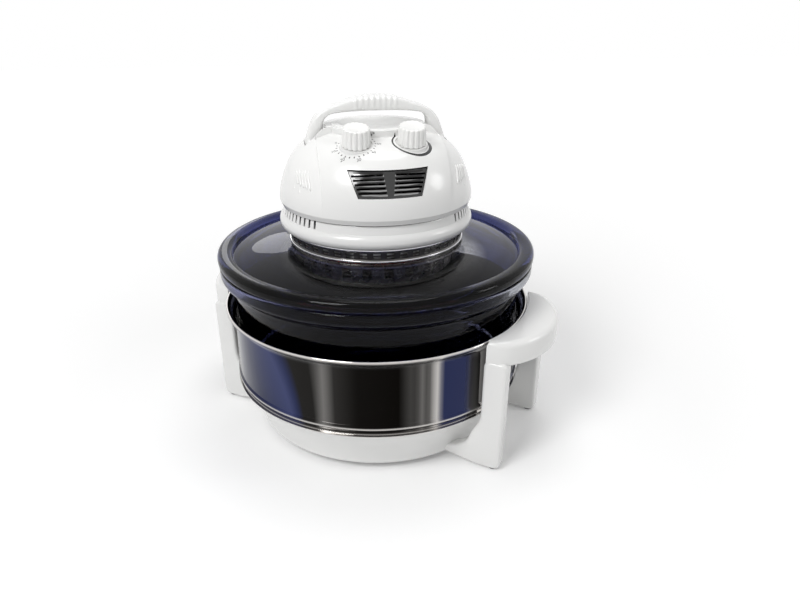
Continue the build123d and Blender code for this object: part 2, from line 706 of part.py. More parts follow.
def turned_form(outline, shift, bottom, end_slope):
    """Solid of revolution under an outline moved outwards by shift."""
    points = shifted(outline, shift)
    with BuildPart(mode=Mode.PRIVATE) as form:
        with BuildSketch(SECTION):
            with BuildLine():
                Spline(points, tangents=((0, 1), (-1, end_slope)))
                Polyline(
                    points[-1],
                    (0, points[-1][1]),
                    (0, bottom),
                    (points[0][0] - 2, bottom),
                    points[0],
                )
            make_face()
        revolve(axis=Axis.Z)
    return form.part


def head_form(shift, bottom):
    """Whole dome moved outwards by shift: turned sides and crown with the fuller front panel."""
    rear_face = (Align.CENTER, Align.MAX, Align.CENTER)

    def panel_zone(margin, mode):
        with Locations((0, margin - HANDLE_ROOT_R - 2, 0)):
            half_width = PANEL_HALF_WIDTH + margin
            Box(2 * half_width, PANEL_TOOL, 4 * PANEL_TOOL, align=rear_face, mode=mode)

    with BuildPart(mode=Mode.PRIVATE) as panel:
        add(turned_form(FRONT_OUTLINE, shift, bottom, 0.38))
        panel_zone(shift, Mode.INTERSECT)
    # Along the panel's edge only what both forms hold, so that an inside keeps its wall there
    with BuildPart(mode=Mode.PRIVATE) as edge:
        add(turned_form(FRONT_OUTLINE, shift, bottom, 0.38))
        panel_zone(-shift, Mode.INTERSECT)
        add(turned_form(SIDE_OUTLINE, shift, bottom, 0), mode=Mode.INTERSECT)
    with BuildPart(mode=Mode.PRIVATE) as form:
        add(turned_form(SIDE_OUTLINE, shift, bottom, 0))
        panel_zone(-shift, Mode.SUBTRACT)
        add(edge.part)
        add(panel.part)
        with Locations((0, 0, bottom)):
            Cylinder(
                CROWN_EDGE_R + shift,
                CROWN_Z + shift - bottom,
                align=(Align.CENTER, Align.CENTER, Align.MIN),
            )
    return form.part


def pocket_form(gap, inner_x, outer_x):
    """Space that the roots of the bail sweep from upright to pressed back, on both shoulders."""
    reach = HANDLE_ROOT_R + gap
    fold = radians(HANDLE_FOLD)
    rear = (reach * cos(fold), PIVOT_Z - reach * sin(fold))
    run = 60.0
    with BuildPart(mode=Mode.PRIVATE) as pocket:
        for side in (-1, 1):
            with BuildSketch(Plane.YZ.offset(side * (inner_x + outer_x) / 2)):
                with Locations((0, PIVOT_Z)):
                    Circle(reach)
                with BuildLine():
                    Polyline(
                        (0, PIVOT_Z),
                        (-reach, PIVOT_Z),
                        (-reach, PIVOT_Z + run),
                        (rear[0] + run * sin(fold), rear[1] + run * cos(fold)),
                        rear,
                        close=True,
                    )
                make_face()
            extrude(amount=(outer_x - inner_x) / 2, both=True)
    return pocket.part


def dial_plane(side, height=0.0):
    """Plane square to a dial's spindle, at a height above the dial's seat."""
    tilt = radians(DIAL_TILT)
    spindle = Vector(0, -sin(tilt), cos(tilt))
    seat = Vector(side * DIAL_X, DIAL_Y, DIAL_SEAT_Z)
    return Plane(origin=seat + spindle * height, x_dir=(1, 0, 0), z_dir=spindle)


def grille_outline(margin):
    """Trapezoid of the grille grown by a margin, in the front plane."""
    return (
        (-GRILLE_TOP_HALF - margin, GRILLE_TOP_Z + margin),
        (-GRILLE_BOTTOM_HALF - margin, GRILLE_BOTTOM_Z - margin),
        (GRILLE_BOTTOM_HALF + margin, GRILLE_BOTTOM_Z - margin),
        (GRILLE_TOP_HALF + margin, GRILLE_TOP_Z + margin),
    )


with BuildPart() as upper_housing:
    add(head_form(0, DOME_LIP_Z))
    # Slanted grip ribs on both cheeks
    for side in (-1, 1):
        for rib in range(CHEEK_RIBS):
            outward = direction(side * (CHEEK_RIB_START - CHEEK_RIB_PITCH * rib))
            sideways = Vector(0, 0, 1).cross(outward) * side
            along = Vector(0, 0, 1) - outward * 0.42 + sideways * 0.3
            rib_centre = outward * (NECK_R - 5 + 0.9 * rib) + Vector(0, 0, PIVOT_Z - 21 - 2.2 * rib)
            with Locations(Plane(origin=rib_centre, z_dir=along)):
                Cylinder(radius=CHEEK_RIB_R, height=8.5)
    # Seat discs of the dials
    for side in (-1, 1):
        with BuildSketch(dial_plane(side)):
            Circle(DIAL_PAD_R)
        extrude(amount=-DIAL_PAD_THICK - 6)
        with BuildSketch(dial_plane(side)):
            Circle(DIAL_PAD_R)
        extrude(amount=8, mode=Mode.SUBTRACT)
    # Pockets of the bail's roots
    add(pocket_form(POCKET_GAP, POCKET_X, HANDLE_HALF_WIDTH + POCKET_GAP), mode=Mode.SUBTRACT)

    # Inside: everything but the wall, the pocket walls, the dial seats and the screw posts
    with BuildPart(mode=Mode.PRIVATE) as cavity:
        add(head_form(-HOUSING_WALL, DOME_LIP_Z - 1))
        add(
            pocket_form(
                POCKET_GAP + HOUSING_WALL,
                POCKET_X - HOUSING_WALL,
                HANDLE_HALF_WIDTH + POCKET_GAP + HOUSING_WALL,
            ),
            mode=Mode.SUBTRACT,
        )
        for side in (-1, 1):
            with BuildSketch(dial_plane(side, -DIAL_PAD_THICK)):
                Circle(DIAL_PAD_R + 2)
            extrude(amount=12, mode=Mode.SUBTRACT)
        with BuildSketch(Plane.XY.offset(HOUSING_TOP_Z + FIT_GAP)):
            with PolarLocations(BOSS_RING_R, 3, start_angle=BOSS_START):
                Circle(BOSS_R)
        extrude(amount=60, mode=Mode.SUBTRACT)
    add(cavity.part, mode=Mode.SUBTRACT)
    for side in (-1, 1):
        with BuildSketch(dial_plane(side, -DIAL_PAD_THICK)):
            Circle(TIMER_R + SEAT_GAP)
        extrude(amount=-TIMER_DEPTH, mode=Mode.SUBTRACT)

    # Openings: grille window, spindles, pivots, screws, crown and cord inlet
    with BuildSketch(Plane.XZ):
        with BuildLine():
            Polyline(*grille_outline(FIT_GAP), close=True)
        make_face()
    extrude(amount=DOME_OPENING_REACH, mode=Mode.SUBTRACT)
    for side in (-1, 1):
        with BuildSketch(dial_plane(side)):
            Circle(SPINDLE_R + RUN_GAP)
        extrude(amount=8, both=True, mode=Mode.SUBTRACT)
    with BuildSketch(Plane.YZ):
        with Locations((0, PIVOT_Z)):
            Circle(PIVOT_R + RUN_GAP)
    extrude(amount=POCKET_X + 5, both=True, mode=Mode.SUBTRACT)
    with BuildSketch(Plane.XY.offset(HOUSING_TOP_Z - 2)):
        with PolarLocations(BOSS_RING_R, 3, start_angle=BOSS_START):
            Circle(SCREW_R + FIT_GAP)
    extrude(amount=SCREW_LENGTH - HOUSING_HEIGHT + SCREW_HEAD + 3, mode=Mode.SUBTRACT)
    with BuildSketch(Plane.XY.offset(CROWN_Z - CROWN_SINK)):
        Circle(CROWN_R + 2 * RUN_GAP)
    extrude(amount=10, mode=Mode.SUBTRACT)
    with BuildSketch(Plane.XY.offset(CROWN_Z - 12)):
        Circle(CROWN_R - CROWN_SKIRT + 2 * RUN_GAP)
    extrude(amount=20, mode=Mode.SUBTRACT)
    with BuildSketch(Plane.XZ):
        with Locations((0, CORD_INLET_Z)):
            Circle(CORD_INLET_R + FIT_GAP)
    extrude(amount=-DOME_OPENING_REACH, mode=Mode.SUBTRACT)

upper_housing.part.label = "upper_housing"
export_step(upper_housing.part, "parts/upper_housing.step")

with BuildPart() as crown_cap:
    crown_seat = CROWN_Z - CROWN_SINK + FIT_GAP
    skirt_r = CROWN_R - CROWN_SKIRT
    with BuildSketch(SECTION):
        with BuildLine():
            Spline(
                (0, CROWN_Z - CROWN_DISH - 2.2),
                (skirt_r - 14, CROWN_Z - CROWN_DISH - 1.0),
                (skirt_r - 2.4, CROWN_Z - 3.4),
                tangents=((1, 0), (1, 0.5)),
            )
            Polyline(
                (skirt_r - 2.4, CROWN_Z - 3.4),
                (skirt_r - 2.4, crown_seat - 5),
                (skirt_r, crown_seat - 5),
                (skirt_r, crown_seat),
                (CROWN_R, crown_seat),
                (CROWN_R, CROWN_Z - 0.3),
            )
            ThreePointArc(
                (CROWN_R, CROWN_Z - 0.3),
                (CROWN_R - 0.5, CROWN_Z + 0.5),
                (CROWN_R - 1.6, CROWN_Z + 0.8),
            )
            Line((CROWN_R - 1.6, CROWN_Z + 0.8), (skirt_r - 1, CROWN_Z + 0.8))
            Spline(
                (skirt_r - 1, CROWN_Z + 0.8),
                (skirt_r - 12, CROWN_Z - CROWN_DISH + 2.2),
                (0, CROWN_Z - CROWN_DISH),
                tangents=((-1, -0.5), (-1, 0)),
            )
            Line((0, CROWN_Z - CROWN_DISH), (0, CROWN_Z - CROWN_DISH - 2.2))
        make_face()
    revolve(axis=Axis.Z)

crown_cap.part.label = "crown_cap"
export_step(crown_cap.part, "parts/crown_cap.step")

with BuildPart() as front_grille:
    add(head_form(GRILLE_PROUD, DOME_LIP_Z))
    add(head_form(GRILLE_PROUD - GRILLE_DEPTH, DOME_LIP_Z - 1), mode=Mode.SUBTRACT)
    with BuildPart(mode=Mode.PRIVATE) as grille_prism:
        with BuildSketch(Plane.XZ):
            with BuildLine():
                Polyline(*grille_outline(0), close=True)
            make_face()
        extrude(amount=DOME_OPENING_REACH)
    add(grille_prism.part, mode=Mode.INTERSECT)
    # Louvre gaps between the frame and the V-shaped bar
    louvre_pitch = (GRILLE_TOP_Z - GRILLE_BOTTOM_Z - 2 * GRILLE_FRAME) / LOUVRES
    for louvre in range(LOUVRES):
        gap_z = GRILLE_BOTTOM_Z + GRILLE_FRAME + (louvre + 0.5) * louvre_pitch
        share = (gap_z - GRILLE_BOTTOM_Z) / (GRILLE_TOP_Z - GRILLE_BOTTOM_Z)
        outer = GRILLE_BOTTOM_HALF + share * (GRILLE_TOP_HALF - GRILLE_BOTTOM_HALF) - GRILLE_FRAME
        inner = GRILLE_BAR_BOTTOM_HALF + share * (GRILLE_BAR_TOP_HALF - GRILLE_BAR_BOTTOM_HALF)
        for side in (-1, 1):
            with Locations((side * (inner + outer) / 2, 6 - NECK_R, gap_z)):
                Box(outer - inner, 40, louvre_pitch * 0.5, rotation=(-12, 0, 0), mode=Mode.SUBTRACT)

front_grille.part.label = "front_grille"
export_step(front_grille.part, "parts/front_grille.step")


# ---------------------------------------------------------------- bail handle

with BuildPart() as handle_bail:
    with BuildSketch(Plane.XZ):
        with BuildLine():
            Line((HANDLE_INNER_HALF, PIVOT_Z), HANDLE_INNER[0])
            Spline(HANDLE_INNER, tangents=((0, 1), (-1, 0)))
            Line(HANDLE_INNER[-1], HANDLE_OUTER[-1])
            Spline(HANDLE_OUTER, tangents=((0, 1), (-1, 0)))
            Polyline(
                HANDLE_OUTER[0],
                (HANDLE_HALF_WIDTH, PIVOT_Z),
                (HANDLE_INNER_HALF, PIVOT_Z),
            )
        make_face()
    extrude(amount=HANDLE_HALF_DEPTH, both=True)
    outer_edges = handle_bail.edges().filter_by(
        lambda e: abs(abs(e.center().Y) - HANDLE_HALF_DEPTH) < 0.1
        and e.center().Z > HANDLE_INNER[-1][1] + 3
        and e.center().X > 1
    )
    fillet(outer_edges, radius=HANDLE_EDGE)
    with BuildSketch(Plane.YZ.offset(HANDLE_INNER_HALF)):
        with Locations((0, PIVOT_Z)):
            Circle(HANDLE_ROOT_R)
    extrude(amount=HANDLE_HALF_WIDTH - HANDLE_INNER_HALF)
    mirror(about=Plane.YZ)
    # Bumps round the middle of the grip
    for rib in range(GRIP_RIBS):
        rib_x = (rib - (GRIP_RIBS - 1) / 2) * GRIP_RIB_PITCH
        rib_top = HANDLE_OUTER[-1][1] - 3.0 * (rib_x / HANDLE_OUTER[-2][0]) ** 2 + GRIP_RIB_PROUD
        rib_bottom = HANDLE_INNER[-1][1] + 2
        with BuildSketch(Plane.YZ.offset(rib_x - GRIP_RIB_WIDTH / 2)):
            with Locations((0, (rib_top + rib_bottom) / 2)):
                RectangleRounded(2 * (HANDLE_HALF_DEPTH + GRIP_RIB_PROUD), rib_top - rib_bottom, HANDLE_EDGE)
        extrude(amount=GRIP_RIB_WIDTH)
    # Blind bores of the pivots
    with BuildSketch(Plane.YZ):
        with Locations((0, PIVOT_Z)):
            Circle(PIVOT_R + FIT_GAP)
    extrude(amount=HANDLE_HALF_WIDTH - 6, both=True, mode=Mode.SUBTRACT)

handle_bail.part.label = "handle_bail"
export_step(handle_bail.part, "parts/handle_bail.step")

switch_x = -(POCKET_X - HOUSING_WALL - FIT_GAP - SWITCH_WIDTH / 2)

with BuildPart() as handle_pivots:
    pin_end = HANDLE_HALF_WIDTH - 6.1
    for inner_x, outer_x in ((-pin_end, switch_x + CAM_WIDTH), (POCKET_X - 5, pin_end)):
        with BuildSketch(Plane.YZ.offset(inner_x)):
            with Locations((0, PIVOT_Z)):
                Circle(PIVOT_R)
        extrude(amount=outer_x - inner_x)

handle_pivots.part.label = "handle_pivots"
export_step(handle_pivots.part, "parts/handle_pivots.step")

with BuildPart() as switch_cam:
    # The radius that faces down grows as the handle folds back
    cam_line = []
    for step in range(45):
        turn = 8.0 * step
        if turn <= HANDLE_FOLD:
            radius = CAM_BASE_R + CAM_RISE * turn / HANDLE_FOLD
        elif turn <= 72:
            radius = CAM_BASE_R + CAM_RISE
        else:
            radius = CAM_BASE_R + CAM_RISE * max(0, 1 - (turn - 72) / 120)
        cam_line.append((radius * sin(radians(turn)), PIVOT_Z - radius * cos(radians(turn))))
    with BuildSketch(Plane.YZ.offset(switch_x - CAM_WIDTH / 2)):
        with BuildLine():
            Polyline(*cam_line, close=True)
        make_face()
        with Locations((0, PIVOT_Z)):
            Circle(PIVOT_R + FIT_GAP, mode=Mode.SUBTRACT)
    extrude(amount=CAM_WIDTH)

switch_cam.part.label = "switch_cam"
export_step(switch_cam.part, "parts/switch_cam.step")

plunger_top = PIVOT_Z - CAM_BASE_R - CAM_CLEAR
switch_top = plunger_top - CAM_RISE - 1.0

with BuildPart() as safety_switch:
    with Locations((switch_x, 0, switch_top - SWITCH_HEIGHT / 2)):
        Box(SWITCH_WIDTH, SWITCH_LENGTH, SWITCH_HEIGHT)
    with BuildSketch(Plane.XY.offset(switch_top)):
        with Locations((switch_x, 0)):
            Circle(PLUNGER_R + RUN_GAP)
    extrude(amount=-SWITCH_HEIGHT + 1.5, mode=Mode.SUBTRACT)
    with Locations((switch_x, 0, switch_top - SWITCH_HEIGHT - 2)):
        with GridLocations(1, 12, 1, 2):
            Box(0.8, 3.2, 5)

safety_switch.part.label = "safety_switch"
export_step(safety_switch.part, "parts/safety_switch.step")

with BuildPart() as switch_plunger:
    with Locations((switch_x, 0, plunger_top - PLUNGER_R)):
        Sphere(PLUNGER_R)
    with BuildSketch(Plane.XY.offset(plunger_top - PLUNGER_R)):
        with Locations((switch_x, 0)):
            Circle(PLUNGER_R)
    extrude(amount=-4.5)

switch_plunger.part.label = "switch_plunger"
export_step(switch_plunger.part, "parts/switch_plunger.step")


# ---------------------------------------------------------------- dials and what they turn


def fluted_knob(side):
    """Fluted dial, blind bored for its spindle."""
    lean = degrees(atan2(KNOB_R - KNOB_TOP_R, KNOB_HEIGHT))
    with BuildPart(mode=Mode.PRIVATE) as knob:
        with BuildSketch(Plane.XZ):
            with BuildLine():
                Polyline(
                    (0, 0),
                    (KNOB_R, 0),
                    (KNOB_TOP_R + 0.07, KNOB_HEIGHT - 1),
                    (KNOB_TOP_R - 1.1, KNOB_HEIGHT),
                    (0, KNOB_HEIGHT),
                    close=True,
                )
            make_face()
        revolve(axis=Axis.Z)
        with PolarLocations((KNOB_R + KNOB_TOP_R) / 2 + 0.55, KNOB_FLUTES):
            with Locations((0, 0, KNOB_HEIGHT / 2)):
                Cylinder(KNOB_FLUTE_R, KNOB_HEIGHT + 6, rotation=(0, -lean, 0), mode=Mode.SUBTRACT)
        with BuildSketch():
            Circle(SPINDLE_R + FIT_GAP)
        extrude(amount=KNOB_HEIGHT - 4, mode=Mode.SUBTRACT)
    return dial_plane(side, KNOB_LIFT).location * knob.part


def spindle_pin(side):
    """Pin from inside the control's body up into the dial."""
    with BuildPart(mode=Mode.PRIVATE) as pin:
        with BuildSketch(dial_plane(side, -DIAL_PAD_THICK - SPINDLE_INSIDE)):
            Circle(SPINDLE_R)
        extrude(amount=DIAL_PAD_THICK + SPINDLE_INSIDE + KNOB_LIFT + KNOB_HEIGHT - 4.1)
    return pin.part


with BuildPart() as timer_knob:
    add(fluted_knob(-1))

timer_knob.part.label = "timer_knob"
export_step(timer_knob.part, "parts/timer_knob.step")

with BuildPart() as temperature_knob:
    add(fluted_knob(1))

temperature_knob.part.label = "temperature_knob"
export_step(temperature_knob.part, "parts/temperature_knob.step")

with BuildPart() as timer_spindle:
    add(spindle_pin(-1))

timer_spindle.part.label = "timer_spindle"
export_step(timer_spindle.part, "parts/timer_spindle.step")

with BuildPart() as thermostat_spindle:
    add(spindle_pin(1))

thermostat_spindle.part.label = "thermostat_spindle"
export_step(thermostat_spindle.part, "parts/thermostat_spindle.step")

with BuildPart() as timer_body:
    with BuildSketch(dial_plane(-1, -DIAL_PAD_THICK - FIT_GAP)):
        Circle(TIMER_R)
    extrude(amount=-TIMER_DEPTH)
    with BuildSketch(dial_plane(-1, -DIAL_PAD_THICK)):
        Circle(SPINDLE_R + RUN_GAP)
    extrude(amount=-SPINDLE_INSIDE - 0.5, mode=Mode.SUBTRACT)
    # Bell cup below the clockwork
    with BuildSketch(dial_plane(-1, -DIAL_PAD_THICK - TIMER_DEPTH)):
        Circle(TIMER_R - 2)
    extrude(amount=-3)

timer_body.part.label = "timer_body"
export_step(timer_body.part, "parts/timer_body.step")

with BuildPart() as thermostat_body:
    with BuildSketch(dial_plane(1, -DIAL_PAD_THICK - FIT_GAP)):
        Circle(TIMER_R)
    extrude(amount=-6)
    with BuildSketch(dial_plane(1, -DIAL_PAD_THICK - FIT_GAP - 5)):
        RectangleRounded(1.5 * TIMER_R, 1.2 * TIMER_R, 2)
    extrude(amount=5 - TIMER_DEPTH)
    with BuildSketch(dial_plane(1, -DIAL_PAD_THICK)):
        Circle(SPINDLE_R + RUN_GAP)
    extrude(amount=-SPINDLE_INSIDE - 0.5, mode=Mode.SUBTRACT)

thermostat_body.part.label = "thermostat_body"
export_step(thermostat_body.part, "parts/thermostat_body.step")


# ---------------------------------------------------------------- hot side

with BuildPart() as heat_shield:
    flange_top = HOUSING_Z - FIT_GAP
    shield_inner = SHIELD_R - SHIELD_SHEET
    with BuildSketch(SECTION):
        with BuildLine():
            Polyline(
                (SHAFT_HOLE_R, SHIELD_FLOOR_Z),
                (SHIELD_R, SHIELD_FLOOR_Z),
                (SHIELD_R, flange_top - SHIELD_SHEET),
                (SHIELD_FLANGE_R, flange_top - SHIELD_SHEET),
                (SHIELD_FLANGE_R, flange_top),
                (shield_inner, flange_top),
                (shield_inner, SHIELD_FLOOR_Z + SHIELD_SHEET),
                (SHAFT_HOLE_R, SHIELD_FLOOR_Z + SHIELD_SHEET),
                close=True,
            )
        make_face()
    revolve(axis=Axis.Z)

heat_shield.part.label = "heat_shield"
export_step(heat_shield.part, "parts/heat_shield.step")

with BuildPart() as neck_gasket:
    with BuildSketch(SECTION):
        with Locations(((SHIELD_R + LID_HOLE_R) / 2, LID_NECK_Z - LID_GLASS / 2)):
            Rectangle(LID_HOLE_R - SHIELD_R - 2 * FIT_GAP, LID_GLASS - 0.4)
    revolve(axis=Axis.Z)

neck_gasket.part.label = "neck_gasket"
export_step(neck_gasket.part, "parts/neck_gasket.step")

with BuildPart() as glass_clamp_ring:
    glass_under_z = LID_NECK_Z - LID_GLASS - FIT_GAP
    slope = 1.0 / (LID_NECK_R + 4 - LID_HOLE_R)
    with BuildSketch(SECTION):
        with BuildLine():
            Polyline(
                (SHIELD_R + FIT_GAP, glass_under_z - 3.4),
                (CLAMP_R - 1, glass_under_z - 3.4),
                (CLAMP_R, glass_under_z - 2.4),
                (CLAMP_R, glass_under_z - (CLAMP_R - LID_HOLE_R) * slope),
                (LID_HOLE_R, glass_under_z),
                (SHIELD_R + FIT_GAP, glass_under_z),
                close=True,
            )
        make_face()
    revolve(axis=Axis.Z)

glass_clamp_ring.part.label = "glass_clamp_ring"
export_step(glass_clamp_ring.part, "parts/glass_clamp_ring.step")

with BuildPart() as heater_guard:
    guard_top = SHIELD_FLOOR_Z - FIT_GAP
    sheet = SHIELD_SHEET
    with BuildSketch(SECTION):
        with BuildLine():
            Polyline(
                (GUARD_TOP_R - 9, guard_top),
                (GUARD_TOP_R, guard_top),
                (GUARD_BOTTOM_R + 1.4, GUARD_BOTTOM_Z + 1.6),
                (GUARD_BOTTOM_R, GUARD_BOTTOM_Z),
                (SHAFT_HOLE_R, GUARD_BOTTOM_Z),
                (SHAFT_HOLE_R, GUARD_BOTTOM_Z + sheet),
                (GUARD_BOTTOM_R - 0.4, GUARD_BOTTOM_Z + sheet),
                (GUARD_BOTTOM_R + 0.6, GUARD_BOTTOM_Z + 2),
                (GUARD_TOP_R - 0.9, guard_top - sheet),
                (GUARD_TOP_R - 9, guard_top - sheet),
                close=True,
            )
        make_face()
    revolve(axis=Axis.Z)
    with PolarLocations(47, GUARD_SLOTS):
        with Locations((0, 0, GUARD_BOTTOM_Z)):
            Box(46, 4.2, 6, mode=Mode.SUBTRACT)
    with PolarLocations(GUARD_TOP_R - 2, GUARD_SLOTS):
        with Locations((0, 0, (GUARD_BOTTOM_Z + guard_top) / 2)):
            Box(12, 9.0, 12, mode=Mode.SUBTRACT)

heater_guard.part.label = "heater_guard"
export_step(heater_guard.part, "parts/heater_guard.step")

with BuildPart() as halogen_lamp:
    with BuildSketch(upright_plane(180 + LAMP_GAP_ANGLE)):
        with Locations((LAMP_RING_R, LAMP_Z)):
            Circle(LAMP_TUBE_R)
    revolve(axis=Axis.Z, revolution_arc=360 - 2 * LAMP_GAP_ANGLE)

halogen_lamp.part.label = "halogen_lamp"
export_step(halogen_lamp.part, "parts/halogen_lamp.step")

with BuildPart() as lamp_holders:
    holder_bottom = LAMP_Z - 6.5
    for side in (-1, 1):
        with PolarLocations(LAMP_RING_R, 1, start_angle=90 + side * LAMP_GAP_ANGLE):
            with Locations((0, -side * (HOLDER_WIDTH / 2 + FIT_GAP), (holder_bottom + guard_top) / 2)):
                Box(13, HOLDER_WIDTH, guard_top - holder_bottom)

lamp_holders.part.label = "lamp_holders"
export_step(lamp_holders.part, "parts/lamp_holders.step")

with BuildPart() as lamp_clips:
    for azimuth in (0, 90, 270):
        with BuildSketch(upright_plane(azimuth)):
            with Locations((LAMP_RING_R, LAMP_Z)):
                Circle(LAMP_TUBE_R + 0.8)
            with Locations((LAMP_RING_R, (LAMP_Z + LAMP_TUBE_R + guard_top) / 2)):
                Rectangle(1.6, guard_top - LAMP_Z - LAMP_TUBE_R)
            with Locations((LAMP_RING_R, LAMP_Z)):
                Circle(LAMP_TUBE_R + 3 * RUN_GAP, mode=Mode.SUBTRACT)
        extrude(amount=3, both=True)

lamp_clips.part.label = "lamp_clips"
export_step(lamp_clips.part, "parts/lamp_clips.step")


# ---------------------------------------------------------------- rotor: shaft, fans, nut

with BuildPart() as motor_shaft:
    with BuildSketch(Plane.XY.offset(SHAFT_BOTTOM_Z)):
        Circle(SHAFT_R)
    extrude(amount=SHAFT_TOP_Z - SHAFT_BOTTOM_Z)

motor_shaft.part.label = "motor_shaft"
export_step(motor_shaft.part, "parts/motor_shaft.step")

with BuildPart() as motor_rotor:
    with BuildSketch(Plane.XY.offset(MOTOR_Z - MOTOR_STACK / 2)):
        Circle(ROTOR_R)
        Circle(SHAFT_R + FIT_GAP, mode=Mode.SUBTRACT)
    extrude(amount=MOTOR_STACK)

motor_rotor.part.label = "motor_rotor"
export_step(motor_rotor.part, "parts/motor_rotor.step")

with BuildPart() as convection_fan:
    with BuildSketch(Plane.XY.offset(FAN_Z)):
        Circle(FAN_R)
    extrude(amount=FAN_SHEET)
    with BuildSketch(Plane.XY.offset(FAN_Z - 5)):
        Circle(SHAFT_R + 2.5)
    extrude(amount=5)
    with PolarLocations(30, FAN_BLADES):
        with Locations((0, 0, FAN_Z - FAN_BLADE_HEIGHT / 2)):
            Box(30, FAN_SHEET, FAN_BLADE_HEIGHT, rotation=(0, 0, 24))
    with BuildSketch(Plane.XY.offset(FAN_Z - 6)):
        Circle(SHAFT_R + FIT_GAP)
    extrude(amount=10, mode=Mode.SUBTRACT)

convection_fan.part.label = "convection_fan"
export_step(convection_fan.part, "parts/convection_fan.step")

with BuildPart() as fan_nut:
    with BuildSketch(Plane.XY.offset(FAN_Z - 5 - FIT_GAP)):
        RegularPolygon(radius=5.4, side_count=6)
        Circle(SHAFT_R + FIT_GAP, mode=Mode.SUBTRACT)
    extrude(amount=-4)

fan_nut.part.label = "fan_nut"
export_step(fan_nut.part, "parts/fan_nut.step")

with BuildPart() as cooling_fan:
    with BuildSketch(Plane.XY.offset(COOLER_Z)):
        Circle(COOLER_R - 12)
    extrude(amount=FAN_SHEET)
    with BuildSketch(Plane.XY.offset(COOLER_Z)):
        Circle(SHAFT_R + 2.5)
    extrude(amount=7)
    with PolarLocations(COOLER_R - 13, COOLER_BLADES):
        with Locations((0, 0, COOLER_Z + 3.2)):
            Box(26, 9, 1.2, rotation=(32, 0, 0))
    with BuildSketch(Plane.XY.offset(COOLER_Z - 2)):
        Circle(SHAFT_R + FIT_GAP)
    extrude(amount=12, mode=Mode.SUBTRACT)

cooling_fan.part.label = "cooling_fan"
export_step(cooling_fan.part, "parts/cooling_fan.step")


# ---------------------------------------------------------------- motor, standing parts

with BuildPart() as motor_stator:
    bar_y = MOTOR_BACK - CORE_BAR / 2
    window_back = MOTOR_BACK - CORE_BAR
    window_front = window_back - CORE_BAR - COIL_WALL
    with BuildSketch(Plane.XY.offset(MOTOR_Z - MOTOR_STACK / 2)):
        with Locations((0, (MOTOR_BACK - MOTOR_FRONT) / 2)):
            Rectangle(2 * MOTOR_HALF_WIDTH, MOTOR_BACK + MOTOR_FRONT)
        with Locations((0, (window_front + window_back) / 2)):
            Rectangle(COIL_LENGTH + 2, window_back - window_front, mode=Mode.SUBTRACT)
        Circle(ROTOR_R + AIR_GAP, mode=Mode.SUBTRACT)
        with GridLocations(2 * POST_BOLT_X, 2 * POST_BOLT_Y, 2, 2):
            Circle(SCREW_R + FIT_GAP, mode=Mode.SUBTRACT)
    extrude(amount=MOTOR_STACK)

motor_stator.part.label = "motor_stator"
export_step(motor_stator.part, "parts/motor_stator.step")

with BuildPart() as motor_coil:
    with Locations((0, bar_y, MOTOR_Z)):
        Box(COIL_LENGTH, CORE_BAR + 2 * COIL_WALL, MOTOR_STACK + 2 * COIL_WALL)
        fillet(motor_coil.edges().filter_by(Axis.X), radius=3)
        Box(
            COIL_LENGTH + 2,
            CORE_BAR + 2 * FIT_GAP,
            MOTOR_STACK + 2 * FIT_GAP,
            mode=Mode.SUBTRACT,
        )

motor_coil.part.label = "motor_coil"
export_step(motor_coil.part, "parts/motor_coil.step")

with BuildPart() as motor_brackets:
    foot = BRACKET_SPAN - MOTOR_STACK / 2 - FIT_GAP
    for side in (-1, 1):
        bridge_z = MOTOR_Z + side * BRACKET_SPAN
        with Locations((0, 0, bridge_z)):
            Box(2 * MOTOR_HALF_WIDTH - 2, 11, 2)
            Cylinder(BEARING_R, 6)
        for across in (-1, 1):
            with Locations((across * (MOTOR_HALF_WIDTH - 2.5), 0, bridge_z - side * foot / 2)):
                Box(3, 11, foot)
    with BuildSketch(Plane.XY.offset(MOTOR_Z)):
        Circle(SHAFT_R + RUN_GAP)
    extrude(amount=BRACKET_SPAN + 5, both=True, mode=Mode.SUBTRACT)

motor_brackets.part.label = "motor_brackets"
export_step(motor_brackets.part, "parts/motor_brackets.step")

with BuildPart() as motor_posts:
    with BuildSketch(Plane.XY.offset(HOUSING_FLOOR_Z + FIT_GAP)):
        with GridLocations(2 * POST_BOLT_X, 2 * POST_BOLT_Y, 2, 2):
            Circle(MOTOR_POST_R)
            Circle(SCREW_R + FIT_GAP, mode=Mode.SUBTRACT)
    extrude(amount=MOTOR_Z - MOTOR_STACK / 2 - HOUSING_FLOOR_Z - 2 * FIT_GAP)

motor_posts.part.label = "motor_posts"
export_step(motor_posts.part, "parts/motor_posts.step")

with BuildPart() as motor_screws:
    with BuildSketch(Plane.XY.offset(MOTOR_Z + MOTOR_STACK / 2 + FIT_GAP)):
        with GridLocations(2 * POST_BOLT_X, 2 * POST_BOLT_Y, 2, 2):
            Circle(SCREW_HEAD_R - 0.4)
    extrude(amount=SCREW_HEAD)
    with BuildSketch(Plane.XY.offset(HOUSING_FLOOR_Z + 1)):
        with GridLocations(2 * POST_BOLT_X, 2 * POST_BOLT_Y, 2, 2):
            Circle(SCREW_R)
    extrude(amount=MOTOR_Z + MOTOR_STACK / 2 - HOUSING_FLOOR_Z)

motor_screws.part.label = "motor_screws"
export_step(motor_screws.part, "parts/motor_screws.step")

with BuildPart() as housing_screws:
    with BuildSketch(Plane.XY.offset(HOUSING_Z)):
        with PolarLocations(BOSS_RING_R, 3, start_angle=BOSS_START):
            Circle(SCREW_HEAD_R)
    extrude(amount=SCREW_HEAD)
    with BuildSketch(Plane.XY.offset(HOUSING_Z)):
        with PolarLocations(BOSS_RING_R, 3, start_angle=BOSS_START):
            Circle(SCREW_R)
    extrude(amount=SCREW_HEAD + SCREW_LENGTH)

